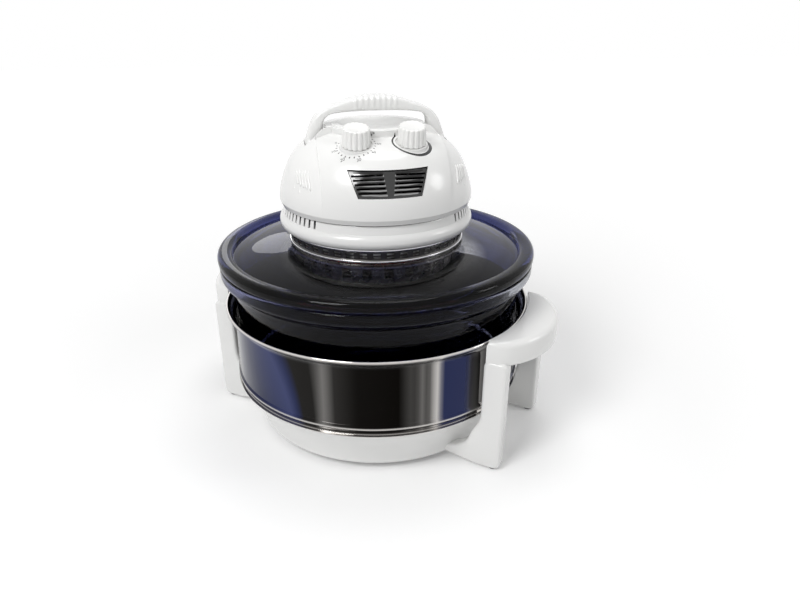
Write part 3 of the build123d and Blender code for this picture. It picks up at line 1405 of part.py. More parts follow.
housing_screws.part.label = "housing_screws"
export_step(housing_screws.part, "parts/housing_screws.step")


# ---------------------------------------------------------------- mains side

with BuildPart() as terminal_block:
    with Locations((0, 62, HOUSING_FLOOR_Z + FIT_GAP + 6)):
        Box(30, 14, 12)
    with BuildSketch(Plane.XY.offset(HOUSING_FLOOR_Z + 13)):
        with Locations((-9, 62), (0, 62), (9, 62)):
            Circle(2.4)
    extrude(amount=-6, mode=Mode.SUBTRACT)

terminal_block.part.label = "terminal_block"
export_step(terminal_block.part, "parts/terminal_block.step")

with BuildPart() as cord_grommet:
    with BuildSketch(Plane.XZ):
        with Locations((0, CORD_INLET_Z)):
            Circle(CORD_INLET_R)
    extrude(amount=-NECK_R - 7)
    with BuildSketch(Plane.XZ.offset(-NECK_R - 4.1)):
        with Locations((0, CORD_INLET_Z)):
            Circle(CORD_INLET_R + 2.5)
    extrude(amount=-3.2)
    with Locations((0, 0, CORD_INLET_Z)):
        Box(40, 2 * NECK_R - 6, 40, mode=Mode.SUBTRACT)
    with BuildSketch(Plane.XZ):
        with Locations((0, CORD_INLET_Z)):
            Circle(CORD_INLET_R - 2.5)
    extrude(amount=-NECK_R - 16, mode=Mode.SUBTRACT)

cord_grommet.part.label = "cord_grommet"
export_step(cord_grommet.part, "parts/cord_grommet.step")
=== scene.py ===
"""Halogen oven: a glass bowl in a steel ring on a moulded stand, with a domed fan head on its lid."""

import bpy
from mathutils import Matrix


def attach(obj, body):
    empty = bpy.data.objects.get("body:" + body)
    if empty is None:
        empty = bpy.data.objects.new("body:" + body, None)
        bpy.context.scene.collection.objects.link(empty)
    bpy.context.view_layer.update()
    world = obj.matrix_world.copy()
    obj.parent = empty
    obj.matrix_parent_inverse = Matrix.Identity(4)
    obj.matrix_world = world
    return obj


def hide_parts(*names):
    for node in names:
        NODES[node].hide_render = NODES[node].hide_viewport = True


bl_info = {
    "name": "Halogen oven",
    "version": (1, 0, 0),
    "blender": (4, 5, 0),
    "location": "3D View > Sidebar > Oven",
    "description": "Dresses the packed frame of a countertop halogen oven",
    "category": "Object",
}

import bmesh
import bpy
import numpy as np
from bpy.props import FloatProperty, FloatVectorProperty, IntProperty, PointerProperty
from bpy.types import Operator, Panel, PropertyGroup
from mathutils import Vector

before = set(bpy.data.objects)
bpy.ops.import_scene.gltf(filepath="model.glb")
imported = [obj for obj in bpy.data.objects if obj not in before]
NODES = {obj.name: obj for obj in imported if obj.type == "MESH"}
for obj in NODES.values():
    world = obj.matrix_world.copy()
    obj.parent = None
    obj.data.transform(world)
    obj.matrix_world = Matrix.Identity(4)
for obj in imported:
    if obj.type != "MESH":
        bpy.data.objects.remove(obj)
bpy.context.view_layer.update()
MM = 0.001

# Stand and dials, in millimetres
GRIP_AZIMUTH = np.radians(53.7)
DIAL_TILT = np.radians(14)
DIAL_AXIS = np.array([0, -np.sin(DIAL_TILT), np.cos(DIAL_TILT)])
DIAL_ACROSS = np.array([1.0, 0, 0])
DIAL_BACK = np.cross(DIAL_AXIS, DIAL_ACROSS)
DIAL_SEATS = {-1: np.array([-26, -56, 310.2]), 1: np.array([26, -56, 310.2])}

# Finger ribs on a cheek: how many, rings and points round in each, and the rod's radius
RIBS, RIB_ROWS, RIB_SIDES, RIB_R = 5, 25, 16, 1.5

# Marks round the dials, in metres and radians from the front
PRINT_R = 0.0179
NUMBER_R = 0.0212
TICK_HALF_PITCH = 0.12217
TICK_HALF_WIDTH = 0.026
TICK_HALF_LENGTH = 0.0008
TICK_SPAN = 2.25
ARC_SPAN = 2.3
ARC_HALF_WIDTH = 0.0012
ARC_GROWTH = 0.00022

# Where the painted shade on the inside of the lower housing begins, in metres
HOUSING_INSIDE_R = 0.0936
HOUSING_INSIDE_Z = 0.2216

# Louvres of the grille, in metres and as a count from the height 0
LOUVRE_FOOT_Z = 0.2708
LOUVRE_TOP_Z = 0.2912
LOUVRES_A_METRE = 250.0
LOUVRES_BELOW = 67.6

# Share of 4 m from the axis, and the light that the floor gives of itself there
FLOOR_GLOW = ((0.09, 0.12), (0.25, 0.38), (0.5, 0.60), (0.9, 0.68))

CAMERA_PLACE = (-0.1019, -0.6985, 0.4411)
CAMERA_TURN = (np.radians(66.076), 0, np.radians(-10.324))

# Painted reflections on the extender ring: azimuth from the front in degrees, two tones and the share of the
# second
PAINTED_REFLECTION_BANDS = (
    (-180, "d", "b", 0.12),
    (-95, "d", "b", 0.04),
    (-80, "d", "n", 0.3),
    (-62, "d", "n", 0.5),
    (-45, "n", "b", 0.02),
    (-41, "d", "n", 0.6),
    (-38, "d", "b", 0.02),
    (-32, "d", "b", 0.02),
    (-28, "d", "b", 0.25),
    (-24, "d", "b", 0.035),
    (-16, "d", "b", 0.004),
    (-1, "d", "b", 0.0),
    (3, "d", "b", 0.07),
    (5, "d", "b", 0.05),
    (7, "d", "b", 0.2),
    (9.4, "d", "b", 0.05),
    (10.8, "d", "b", 0.4),
    (12.6, "d", "b", 0.8),
    (14.6, "n", "d", 0.4),
    (25, "n", "d", 0.4),
    (29, "d", "b", 0.3),
    (34, "d", "b", 0.06),
    (75, "d", "n", 0.6),
    (110, "d", "b", 0.1),
    (140, "d", "n", 0.5),
    (180, "d", "b", 0.12),
)


# -------------------------------- sizes and colours


def colour(name, words, default):
    """Colour property, with alpha left out."""
    return FloatVectorProperty(
        name=name, description=words, subtype="COLOR", size=3, min=0.0, max=1.0, default=default
    )


class GlassSettings(PropertyGroup):
    """Bowl and lid glass."""

    bowl_tint: colour("Bowl tint", "Colour of the light that comes through the bowl", (0.17, 0.18, 0.31))
    # Painted light: the pale tone of the bowl's right side
    bowl_painted_light_side: colour("Bowl side", "Colour of the light through its right side", (0.62, 0.64, 0.70))
    # The lid's dark navy rim is partly smoke and partly painted reflection of dark blue surroundings
    lid_smoke_and_painted_navy: colour("Lid tint", "Colour of the light that comes through the lid's rim", (0.045, 0.052, 0.16))
    lid_clear: colour("Lid middle", "Colour of the light that comes through its front", (0.72, 0.71, 0.72))
    sides: IntProperty(name="Sides", description="Steps round the axis", default=256, min=24)


class SteelSettings(PropertyGroup):
    """Extender ring and trim."""

    # Bright, dark and navy are painted reflections of the surroundings on the extender ring
    bright: colour("Bright", "Polished steel where it mirrors light", (0.62, 0.60, 0.58))
    dark: colour("Dark", "Polished steel where it mirrors the dark", (0.004, 0.0035, 0.003))
    navy: colour("Navy", "Polished steel where it mirrors the blue", (0.036, 0.046, 0.125))
    trim: colour("Trim", "Chromed trim rings", (0.72, 0.72, 0.73))
    band: colour("Band", "Perforated collar band", (0.15, 0.145, 0.14))


class ShellSettings(PropertyGroup):
    """White mouldings."""

    white: colour("White", "Moulded plastic", (0.80, 0.80, 0.79))
    knob_white: colour("Knob white", "Plastic of the dials", (0.84, 0.84, 0.825))
    ink: colour("Ink", "Printed dial marks", (0.012, 0.012, 0.014))
    grille: colour("Grille", "Dark chrome of the grille", (0.12, 0.12, 0.12))
    number_height: FloatProperty(
        name="Number height", description="Height of the dial numbers", default=0.0042, unit="LENGTH", min=0.0
    )
    flutes: IntProperty(name="Flutes", description="Flutes round a dial", default=16, min=3)


class StageSettings(PropertyGroup):
    """Floor, lights and camera."""

    floor: colour("Floor", "Floor under the oven", (0.90, 0.90, 0.90))
    lens: FloatProperty(name="Lens", description="Focal length in millimetres", default=31.5, min=1.0)
    key_power: FloatProperty(name="Key", description="Power of the key light in watts", default=15.0)
    fill: FloatProperty(name="Fill", description="Strength of the light from all around", default=0.36)


# -------------------------------- surfaces


def arc(a, b, c, steps=8):
    """Points on the circle through a, b and c, from a to c.

    The centre is where the bisectors of ab and bc cross; the angle runs evenly from a to c by way of b.
    """
    a, b, c = (np.asarray(p, float) for p in (a, b, c))
    system = 2 * np.array([b - a, c - b])
    centre = np.linalg.solve(system, [b @ b - a @ a, c @ c - b @ b])
    spokes = np.array([a, b, c]) - centre
    turn = np.unwrap(np.arctan2(spokes[:, 1], spokes[:, 0]))
    if not min(turn[0], turn[2]) <= turn[1] <= max(turn[0], turn[2]):
        turn[2] += 2 * np.pi * np.sign(turn[1] - turn[0])
    angle = np.linspace(turn[0], turn[2], steps + 1)
    return centre + np.hypot(*spokes[0]) * np.column_stack((np.cos(angle), np.sin(angle)))


def outline(*parts):
    """One closed profile in millimetres from points and arcs, without repeated neighbours."""
    rows = np.vstack([np.atleast_2d(np.asarray(part, float)) for part in parts])
    step = np.hypot(*(rows - np.roll(rows, 1, axis=0)).T)
    return rows[step > 1e-6]


def mesh_piece(name, points, faces, sharp=35.0):
    """Object at the origin from point and face arrays, doubles merged and creases kept sharp."""
    mesh = bpy.data.meshes.new(name)
    mesh.from_pydata(points.reshape(-1, 3).tolist(), [], np.asarray(faces, object).tolist())
    form = bmesh.new()
    form.from_mesh(mesh)
    bmesh.ops.remove_doubles(form, verts=form.verts, dist=1e-6)
    bmesh.ops.recalc_face_normals(form, faces=form.faces)
    form.to_mesh(mesh)
    form.free()
    mesh.shade_smooth()
    mesh.set_sharp_from_angle(angle=np.radians(sharp))
    piece = bpy.data.objects.new(name, mesh)
    bpy.context.scene.collection.objects.link(piece)
    return piece


def grid_faces(rows, columns, wrap_rows=False, wrap_columns=True):
    """Quads of a grid of rows by columns, as an array of four indices each."""
    row = np.arange(rows if wrap_rows else rows - 1)
    column = np.arange(columns if wrap_columns else columns - 1)
    r, c = np.meshgrid(row, column, indexing="ij")
    r2, c2 = (r + 1) % rows, (c + 1) % columns
    quads = np.stack((r * columns + c, r * columns + c2, r2 * columns + c2, r2 * columns + c), axis=-1)
    return quads.reshape(-1, 4)


def carried_round(profile, sides):
    """Points of an (r, z) profile carried round the axis: (r sin a, -r cos a, z), with a from the front."""
    angle = np.arange(sides) * 2 * np.pi / sides
    radius, height = profile.T
    level = np.broadcast_to(height[:, None], (len(radius), sides))
    return np.stack((radius[:, None] * np.sin(angle), -radius[:, None] * np.cos(angle), level), axis=-1)


def turned(name, profile, sides=192, sharp=35.0):
    """Surface of revolution of a closed profile in millimetres."""
    faces = grid_faces(len(profile), sides, wrap_rows=True)
    return mesh_piece(name, carried_round(profile * MM, sides), faces, sharp)


def smooth_line(points, steps=8):
    """Catmull-Rom line through the points: each span is the cubic that matches its neighbours' chords."""
    p = np.asarray(points, float)
    p = np.vstack((2 * p[0] - p[1], p, 2 * p[-1] - p[-2]))
    t = np.linspace(0, 1, steps, endpoint=False)[:, None]
    spans = [
        0.5
        * (
            2 * b
            + (c - a) * t
            + (2 * a - 5 * b + 4 * c - d) * t**2
            + (3 * b - a - 3 * c + d) * t**3
        )
        for a, b, c, d in zip(p[:-3], p[1:-2], p[2:-1], p[3:])
    ]
    return np.vstack(spans + [p[-2:-1]])


def rolled_sheet(line, thickness):
    """Closed profile of a sheet: the line moved half the thickness to either side, square to itself."""
    run = np.gradient(line, axis=0)
    run /= np.hypot(*run.T)[:, None]
    side = np.column_stack((-run[:, 1], run[:, 0])) * thickness / 2
    return np.vstack((line + side, (line - side)[::-1]))


def inset(outline_points, amount):
    """Closed outline moved inwards by amount along the mean of each point's two edge normals."""
    before = outline_points - np.roll(outline_points, 1, axis=0)
    after = np.roll(outline_points, -1, axis=0) - outline_points
    before /= np.hypot(*before.T)[:, None]
    after /= np.hypot(*after.T)[:, None]
    normal = np.column_stack((-before[:, 1] - after[:, 1], before[:, 0] + after[:, 0]))
    scale = np.maximum((normal**2).sum(axis=1) / 2, 0.5)
    return outline_points + normal / scale[:, None] * np.broadcast_to(amount, len(scale))[:, None]


def rounded_corners(corners, radius, steps=6):
    """Anticlockwise polygon with each corner replaced by a quadratic curve that starts radius before it."""
    p = np.asarray(corners, float)
    back, ahead = np.roll(p, 1, axis=0) - p, np.roll(p, -1, axis=0) - p
    reach = np.minimum(radius, 0.45 * np.minimum(np.hypot(*back.T), np.hypot(*ahead.T)))[:, None]
    a = p + back / np.hypot(*back.T)[:, None] * reach
    c = p + ahead / np.hypot(*ahead.T)[:, None] * reach
    t = np.linspace(0, 1, steps + 1)[:, None, None]
    curve = (1 - t) ** 2 * a + 2 * t * (1 - t) * p + t**2 * c
    return curve.transpose(1, 0, 2).reshape(-1, 2)


def moulding(shape, low, high, low_edge, high_edge, axes, weight=1.0):
    """Points and faces of an outline given thickness, its edges rounded by quarter circles.

    A level of an edge of radius e is moved in by e (1 - sin) and along by e (1 - cos) of its angle. The
    rows of axes are where u, v and w of the outline point; the weight scales how far a point moves in.
    """
    turn = np.linspace(0, np.pi / 2, 6)
    levels = [(low_edge * (1 - np.sin(t)), low + low_edge * (1 - np.cos(t))) for t in turn]
    levels += [(high_edge * (1 - np.cos(t)), high - high_edge * (1 - np.sin(t))) for t in turn]
    rings = [
        np.column_stack((inset(shape, amount * weight), np.full(len(shape), w))) for amount, w in levels
    ]
    points = np.vstack(rings) @ axes
    count = len(shape)
    faces = grid_faces(len(levels), count).tolist()
    faces.append(list(range(count))[::-1])
    faces.append(list(range((len(levels) - 1) * count, len(levels) * count)))
    return points, faces


def joined(name, parts, sharp):
    """One object from several (points, faces) pairs."""
    shift = np.cumsum([0] + [len(points) for points, _ in parts])
    faces = [[int(i + start) for i in face] for start, (_, some) in zip(shift, parts) for face in some]
    return mesh_piece(name, np.vstack([points for points, _ in parts]) * MM, faces, sharp)


# Closed profiles of the glass and the middle line of the ring's sheet: radius and height in millimetres
BOWL_PROFILE = outline(
    (0, 15.5),
    (90.5, 15.5),
    arc((90.5, 15.5), (92.6, 14.7), (96, 14.3)),
    arc((96, 14.3), (127.5, 28.3), (141, 62), 24),
    arc((141, 62), (146.6, 95), (149, 128), 12),
    arc((149, 128), (151.2, 148), (154.4, 165.8), 10),
    arc((154.4, 165.8), (156.8, 169.6), (162, 172.8), 10),
    arc((162, 172.8), (163.8, 175.8), (164, 178.8), 8),
    (164, 183.3),
    arc((164, 183.3), (163.3, 185.1), (161.5, 185.8), 6),
    (151.4, 185.8),
    arc((151.4, 185.8), (150, 185.2), (149.4, 183.8), 6),
    (149.4, 165.8),
    arc((149.4, 165.8), (146.3, 148), (144, 128), 10),
    arc((144, 128), (141.6, 95), (136, 62), 12),
    arc((136, 62), (124.5, 32.9), (94, 20.1), 24),
    (0, 20.1),
)
LID_PROFILE = outline(
    (144.8, 181.1),
    (148.2, 181.1),
    (148.2, 186.1),
    (162, 186.1),
    arc((162, 186.1), (164.4, 188.1), (165, 191.1), 8),
    arc((165, 191.1), (163.6, 196.3), (160, 198.1), 8),
    (153, 197.9),
    arc((153, 197.9), (150.6, 196.2), (149, 193.1), 8),
    arc((149, 193.1), (120, 200.4), (94, 204.1), 20),
    (90, 205.3),
    (84.6, 205.3),
    (84.6, 200.3),
    (94, 199.3),
    arc((94, 199.3), (120, 195.4), (144.8, 187.1), 20),
)
RING_LINE = smooth_line(
    ((155.2, 55.25), (152.4, 55.8), (152.2, 57.8), (152.6, 60.4), (154.4, 62.3), (154.5, 64.3),
     (153.3, 66.4), (153.0, 69.5), (153.0, 96.0), (153.0, 122.5), (153.3, 127.5), (155.4, 131.6),
     (158.4, 134.2), (159.9, 137.4), (160.6, 138.8), (161.6, 138.4), (161.8, 136.6)),
    5,
)


def stand_surface(name, sides):
    """Stand: turned dish, four arms with posts and two crescent grips, every edge rounded."""
    dish = outline(
        (0, 8.8),
        (124, 8.8),
        (125, 7.2),
        arc((125, 7.2), (126.4, 6.9), (129, 7.1), 4),
        arc((129, 7), (131.4, 8.4), (132, 11)),
        arc((132, 11), (138, 30.75), (150.5, 51.5), 16),
        (150.5, 54),
        (150, 54.5),
        (145.3, 54.5),
        arc((145.3, 54.5), (136.5, 40), (131.3, 26), 12),
        arc((131.3, 26), (126.3, 17), (114.8, 12), 10),
        (0, 12),
    )
    points = carried_round(dish, sides).reshape(-1, 3)
    parts = [(points, grid_faces(len(dish), sides, wrap_rows=True).tolist())]
    arm = rounded_corners(
        ((110, 8), (146, 1.5), (170, 1.5), (172, 121), (148.6, 121), (147.8, 54), (140, 40.5), (134, 25),
         (124, 18), (110, 17)),
        7.0,
    )
    for grip in (GRIP_AZIMUTH, GRIP_AZIMUTH + np.pi):
        out = np.array([np.sin(grip), -np.cos(grip), 0])
        along = np.array([np.cos(grip), np.sin(grip), 0])
        up = np.array([0, 0, 1.0])
        for side in (-1, 1):
            middle = 61 * side
            parts.append(moulding(arm, middle - 7.5, middle + 7.5, 3.2, 3.2, np.array([out, up, along])))
        # Crescent in plan: inner circle round the ring, outer circle through the corners
        inner = np.linspace(24.2, -24.2, 40)
        inner = 163.6 * np.column_stack((np.cos(np.radians(inner)), np.sin(np.radians(inner))))
        corners = np.array([(150.5, -67.6), (163, -67.6), (172, -61.6)])
        outer = arc((172, -61.6), (198, 0), (172, 61.6), 60)
        plan = np.vstack((corners[:2], outer, corners[1::-1] * (1, -1), inner[1:-1]))
        step = np.hypot(*(plan - np.roll(plan, 1, axis=0)).T)
        plan = plan[step > 0.5]
        soft = np.clip((np.hypot(*plan.T) - 163.7) / 2.0, 0.06, 1)
        parts.append(moulding(plan, 117, 142, 3.5, 6.5, np.array([out, along, up]), soft))
    return joined(name, parts, 50.0)


def rounded(wave, power=0.5):
    """Cosine or sine wave squared off: its sign times its size to the power."""
    return np.sign(wave) * np.abs(wave) ** power


def bail_surface(name):
    """Bail handle, carried along its own arch from one root to the other.

    Every section is a squared-off ellipse between the outer and the inner line of the arch; its depth is
    a round root below the pivot and then constant, and cosine bumps stand on the grip's middle.
    """
    fall = np.linspace(0, np.pi / 2, 9)[:-1]
    root_z = 300 - 14 * np.cos(fall)
    outer = smooth_line(
        ((70, 300), (69.8, 305), (66.2, 316), (62.4, 325), (56, 332.6), (46.5, 337.7), (34.5, 341.6),
         (24.5, 345), (12, 347.3), (0, 348))
    )
    inner = smooth_line(
        ((52, 300), (52, 305), (52, 314), (51.6, 321), (50, 326), (45, 330.3), (34, 332), (24, 332.6),
         (12, 332.9), (0, 333))
    )
    outer = np.vstack((np.column_stack((np.full_like(root_z, 70), root_z)), outer))
    inner = np.vstack((np.column_stack((np.full_like(root_z, 52), root_z)), inner))
    rise = np.clip((outer[:, 1] - 300) / 10, 0, 1)
    depth = np.where(outer[:, 1] < 300, 14 * np.sin(np.arccos(np.clip((300 - outer[:, 1]) / 14, -1, 1))), 0)
    depth = np.where(outer[:, 1] >= 300, 14 - 3 * rise * rise * (3 - 2 * rise), depth)
    flip = np.array([-1, 1])
    outer = np.vstack((outer, outer[-2::-1] * flip))
    inner = np.vstack((inner, inner[-2::-1] * flip))
    depth = np.concatenate((depth, depth[-2::-1]))
    middle, half = (outer + inner) / 2, (outer - inner) / 2
    # More rows over the grip, so that the bumps are smooth
    reach = np.concatenate(((0,), np.cumsum(np.hypot(*np.diff(middle, axis=0).T))))
    fine = np.unique(np.concatenate((reach, np.linspace(reach[-1] / 2 - 26, reach[-1] / 2 + 26, 120))))
    middle = np.column_stack([np.interp(fine, reach, column) for column in middle.T])
    half = np.column_stack([np.interp(fine, reach, column) for column in half.T])
    depth = np.interp(fine, reach, depth)
    angle = np.linspace(0, 2 * np.pi, 48, endpoint=False)
    up, side = rounded(np.cos(angle)), rounded(np.sin(angle))
    wave = 0.5 - 0.5 * np.cos(2 * np.pi * (middle[:, 0] + 22.4) / 5.6)
    bumps = 0.8 * np.where(np.abs(middle[:, 0]) < 22.4, wave, 0)
    proud = bumps[:, None] * np.clip(up + 0.9, 0, 1)
    size = np.hypot(*half.T)[:, None]
    x = middle[:, :1] + half[:, :1] * up * (1 + proud / size)
    z = middle[:, 1:] + half[:, 1:] * up * (1 + proud / size)
    y = (depth[:, None] + proud) * side
    points = np.stack((x, y, z), axis=-1) * MM
    caps = np.broadcast_to(points[[0, -1]].mean(axis=1, keepdims=True), (2, len(angle), 3))
    points = np.concatenate((caps[:1], points, caps[1:]))
    return mesh_piece(name, points, grid_faces(len(points), len(angle)), 50.0)


def knob_surface(name, side, flutes):
    """Dial: a turned, slightly tapered body whose wall is pressed in by a cosine flute wave.

    The point at angle a and profile (r, h) is seat + h spindle + r (1 - flute) (sin a across - cos a back).
    """
    profile = outline(
        (0, 0.4),
        (13.2, 0.4),
        (13.6, 0.8),
        np.column_stack((np.linspace(13.55, 12.6, 10), np.linspace(1.6, 15.6, 10))),
        arc((12.55, 16.0), (12.25, 16.95), (11.3, 17.4), 6),
        (10.4, 17.4),
        (9.6, 17.1),
        (0, 17.1),
    )
    sides = flutes * 14
    angle = np.arange(sides) * 2 * np.pi / sides
    radius, height = profile.T
    wall = np.clip((radius - 9.5) / 2.5, 0, 1)[:, None]
    flute = 1.15 * (0.5 + 0.5 * np.cos(flutes * angle)) ** 2.2
    radius = radius[:, None] - wall * flute
    points = (
        DIAL_SEATS[side]
        + height[:, None, None] * DIAL_AXIS
        + (radius * np.sin(angle))[..., None] * DIAL_ACROSS
        - (radius * np.cos(angle))[..., None] * DIAL_BACK
    )
    return mesh_piece(name, points * MM, grid_faces(len(profile), len(angle), wrap_rows=True), 40.0)


def dropped(points, way, node, lift=0.0):
    """Points moved along way onto a CAD node's surface, and back off it by the lift.

    Every line is met with every triangle at once (Moeller and Trumbore); the first meeting counts.
    """
    mesh = NODES[node].data
    corners = np.empty(len(mesh.vertices) * 3, np.float32)
    mesh.vertices.foreach_get("co", corners)
    mesh.calc_loop_triangles()
    index = np.empty(len(mesh.loop_triangles) * 3, np.int32)
    mesh.loop_triangles.foreach_get("vertices", index)
    a, b, c = np.moveaxis(corners.reshape(-1, 3)[index.reshape(-1, 3)].astype(float), 1, 0)
    e1, e2 = b - a, c - a
    way = np.broadcast_to(way, points.shape)
    start = points - way * 0.05
    p = np.cross(way[:, None], e2)
    det = np.einsum("mj,nmj->nm", e1, p)
    det = np.where(np.abs(det) < 1e-14, np.nan, det)
    offset = start[:, None] - a
    u = np.einsum("nmj,nmj->nm", offset, p) / det
    q = np.cross(offset, e1)
    v = np.einsum("nj,nmj->nm", way, q) / det
    t = np.einsum("nmj,mj->nm", q, e2) / det
    hit = (u >= -1e-6) & (v >= -1e-6) & (u + v <= 1 + 1e-6) & (t > 0)
    nearest = np.where(hit, t, np.inf).min(axis=1)
    return start + way * (nearest[:, None] - lift)


def rib_surface(name, side):
    """Five slanted finger ribs on one cheek of the dome, each a half-sunk rod with tapered ends.

    A rod's middle line is laid on the dome; its radius at t from -1 to 1 is R (1 - t^4)^(1/2).
    """
    rib, t, turn = np.meshgrid(
        np.arange(RIBS),
        np.linspace(-1, 1, RIB_ROWS),
        np.arange(RIB_SIDES) * 2 * np.pi / RIB_SIDES,
        indexing="ij",
    )
    azimuth = np.radians(side * (63.0 - 2.9 * rib + 3.2 * t))
    height = 279.0 + t * (5.6 + 0.7 * rib)
    out = np.stack((np.sin(azimuth), -np.cos(azimuth), np.zeros_like(t)), axis=-1)
    line = (out * 120)[:, :, 0] * MM
    line[..., 2] = height[:, :, 0] * MM
    laid = dropped(line.reshape(-1, 3), -out[:, :, 0].reshape(-1, 3), "upper_housing")
    laid = laid.reshape(RIBS, RIB_ROWS, 1, 3)
    slope = np.gradient(laid, axis=1)
    slope /= np.linalg.norm(slope, axis=-1, keepdims=True)
    across = np.cross(slope, out)
    across /= np.linalg.norm(across, axis=-1, keepdims=True)
    proud = np.cross(across, slope)
    size = RIB_R * MM * np.sqrt(1 - 0.999 * t**4)[..., None]
    points = laid + size * (np.cos(turn)[..., None] * across + np.sin(turn)[..., None] * proud * 0.8)
    last = (RIB_ROWS - 1) * RIB_SIDES
    faces = grid_faces(RIB_ROWS, RIB_SIDES).tolist()
    faces += [list(range(RIB_SIDES))[::-1], list(range(last, last + RIB_SIDES))]
    return joined(name, [(rod / MM, faces) for rod in points.reshape(RIBS, -1, 3)], 60.0)


# -------------------------------- materials


class Finish:
    """Small helper that lays out one material's nodes by name."""

    def __init__(self, name):
        self.material = bpy.data.materials.new(name)
        self.material.use_nodes = True
        self.tree = self.material.node_tree
        self.shader = self.tree.nodes["Principled BSDF"]
        self.coordinates = self.add("ShaderNodeTexCoord").outputs["Object"]

    def add(self, kind, links=(), **values):
        """New node; values set attributes or input defaults, links join inputs to outputs."""
        node = self.tree.nodes.new(kind)
        for key, value in values.items():
            if hasattr(node, key):
                setattr(node, key, value)
            else:
                node.inputs[key.replace("_", " ")].default_value = value
        for socket, source in dict(links).items():
            self.tree.links.new(source, node.inputs[socket])
        return node

    def maths(self, operation, *terms):
        """Result of one Math node on sockets and numbers."""
        node = self.tree.nodes.new("ShaderNodeMath")
        node.operation = operation
        for socket, term in zip(node.inputs, terms):
            if isinstance(term, (int, float)):
                socket.default_value = term
            else:
                self.tree.links.new(term, socket)
        return node.outputs[0]

    def set(self, **values):
        """Sockets of the main shader."""
        for key, value in values.items():
            self.shader.inputs[key.replace("_", " ")].default_value = value
        return self

    def join(self, socket, source):
        """Link into a socket of the main shader."""
        self.tree.links.new(source, self.shader.inputs[socket])
        return self

    def noise(self, scale, detail=2.0, vector=None):
        """Factor of a noise at a scale per metre."""
        node = self.add("ShaderNodeTexNoise", {"Vector": vector or self.coordinates})
        node.inputs["Scale"].default_value = scale
        node.inputs["Detail"].default_value = detail
        return node.outputs["Fac"]

    def ramp(self, factor, *stops):
        """Colour ramp from (position, colour) pairs."""
        node = self.add("ShaderNodeValToRGB", {"Fac": factor})
        elements = node.color_ramp.elements
        elements.remove(elements[1])
        elements[0].position, elements[0].color = stops[0]
        for position, tint in stops[1:]:
            elements.new(position).color = tint
        return node.outputs["Color"]

    def bump(self, height, strength, distance):
        """Bump of the main shader."""
        node = self.add("ShaderNodeBump", {"Height": height})
        node.inputs["Strength"].default_value = strength
        node.inputs["Distance"].default_value = distance
        return self.join("Normal", node.outputs["Normal"])

    def xyz(self, vector=None):
        """X, Y and Z sockets of a vector, or of the object's own coordinates."""
        return self.add("ShaderNodeSeparateXYZ", {"Vector": vector or self.coordinates}).outputs

    def vector_maths(self, operation, source, by=(0.0, 0.0, 0.0)):
        """Outputs of one Vector Math node on a socket and a fixed vector."""
        node = self.add("ShaderNodeVectorMath", {0: source}, operation=operation)
        node.inputs[1].default_value = by
        return node.outputs

    def hypot(self, a, b):
        """Square root of the sum of two squares."""
        squares = [self.maths("POWER", side, 2.0) for side in (a, b)]
        return self.maths("SQRT", self.maths("ADD", *squares))

    def paint(self, share, rgb):
        """Plain colour over that share of the base colour joined so far."""
        under = self.shader.inputs["Base Color"].links[0].from_socket
        mixed = self.add("ShaderNodeMixRGB", {"Fac": share, "Color1": under})
        mixed.inputs["Color2"].default_value = shade(rgb)
        return self.join("Base Color", mixed.outputs["Color"])

    def polar(self):
        """Azimuth from the front in turns (0 to 1 from the rear by the left) and the height, as sockets."""
        parts = self.xyz()
        turn = self.maths("ARCTAN2", parts["X"], self.maths("MULTIPLY", parts["Y"], -1.0))
        return self.maths("MULTIPLY_ADD", turn, 0.5 / np.pi, 0.5), parts["Z"]


def shade(rgb, gain=1.0):
    """RGBA of a colour property, brightened or darkened."""
    return (*[min(1.0, c * gain) for c in rgb], 1.0)


def mix(a, b, share):
    """Colour between a and b."""
    return tuple(x + (y - x) * share for x, y in zip(a, b))


def dress(node, material):
    """Give a CAD node or a new piece one material."""
    target = NODES[node] if isinstance(node, str) else node
    target.data.materials.clear()
    target.data.materials.append(material)


def moulded(name, rgb, roughness=0.22):
    """Glossy moulded plastic: faint orange peel, slightly uneven gloss and tone."""
    finish = Finish(name)
    tone = finish.ramp(finish.noise(9.0), (0.35, shade(rgb, 0.975)), (0.7, shade(rgb, 1.01)))
    finish.join("Base Color", tone)
    finish.join("Roughness", finish.maths("MULTIPLY_ADD", finish.noise(60.0), 0.08, roughness - 0.04))
    finish.bump(finish.noise(420.0, 1.0), 0.05, 0.0004)
    return finish.set(Coat_Weight=0.25, Coat_Roughness=0.08)


def metal(name, rgb, roughness=0.25, grain=0.0):
    """Bare or plated metal with fine wear in its gloss."""
    finish = Finish(name)
    tone = finish.ramp(finish.noise(30.0), (0.3, shade(rgb, 0.9)), (0.75, shade(rgb, 1.08)))
    finish.join("Base Color", tone)
    finish.join("Roughness", finish.maths("MULTIPLY_ADD", finish.noise(140.0), 0.12, roughness - 0.06))
    if grain:
        finish.bump(finish.noise(900.0, 3.0), grain, 0.0003)
    return finish.set(Metallic=1.0)


def soft_touch(name, rgb, roughness=0.7):
    """Rubber, nylon, ceramic and taped winding: matt, with a fine grain."""
    finish = Finish(name)
    tone = finish.ramp(finish.noise(45.0, 3.0), (0.3, shade(rgb, 0.88)), (0.7, shade(rgb, 1.08)))
    finish.join("Base Color", tone)
    finish.bump(finish.noise(700.0, 2.0), 0.12, 0.0005)
    return finish.set(Roughness=roughness)


def painted_shade_inside(name, rgb, ink):
    """Moulded plastic with painted shade on its inner side, in the ink colour, so that the slots show as
    openings.
    """
    finish = moulded(name, rgb)
    parts = finish.xyz()
    inside = finish.maths("LESS_THAN", finish.hypot(parts["X"], parts["Y"]), HOUSING_INSIDE_R)
    above = finish.maths("GREATER_THAN", parts["Z"], HOUSING_INSIDE_Z)
    return finish.paint(finish.maths("MULTIPLY", inside, above), ink).material


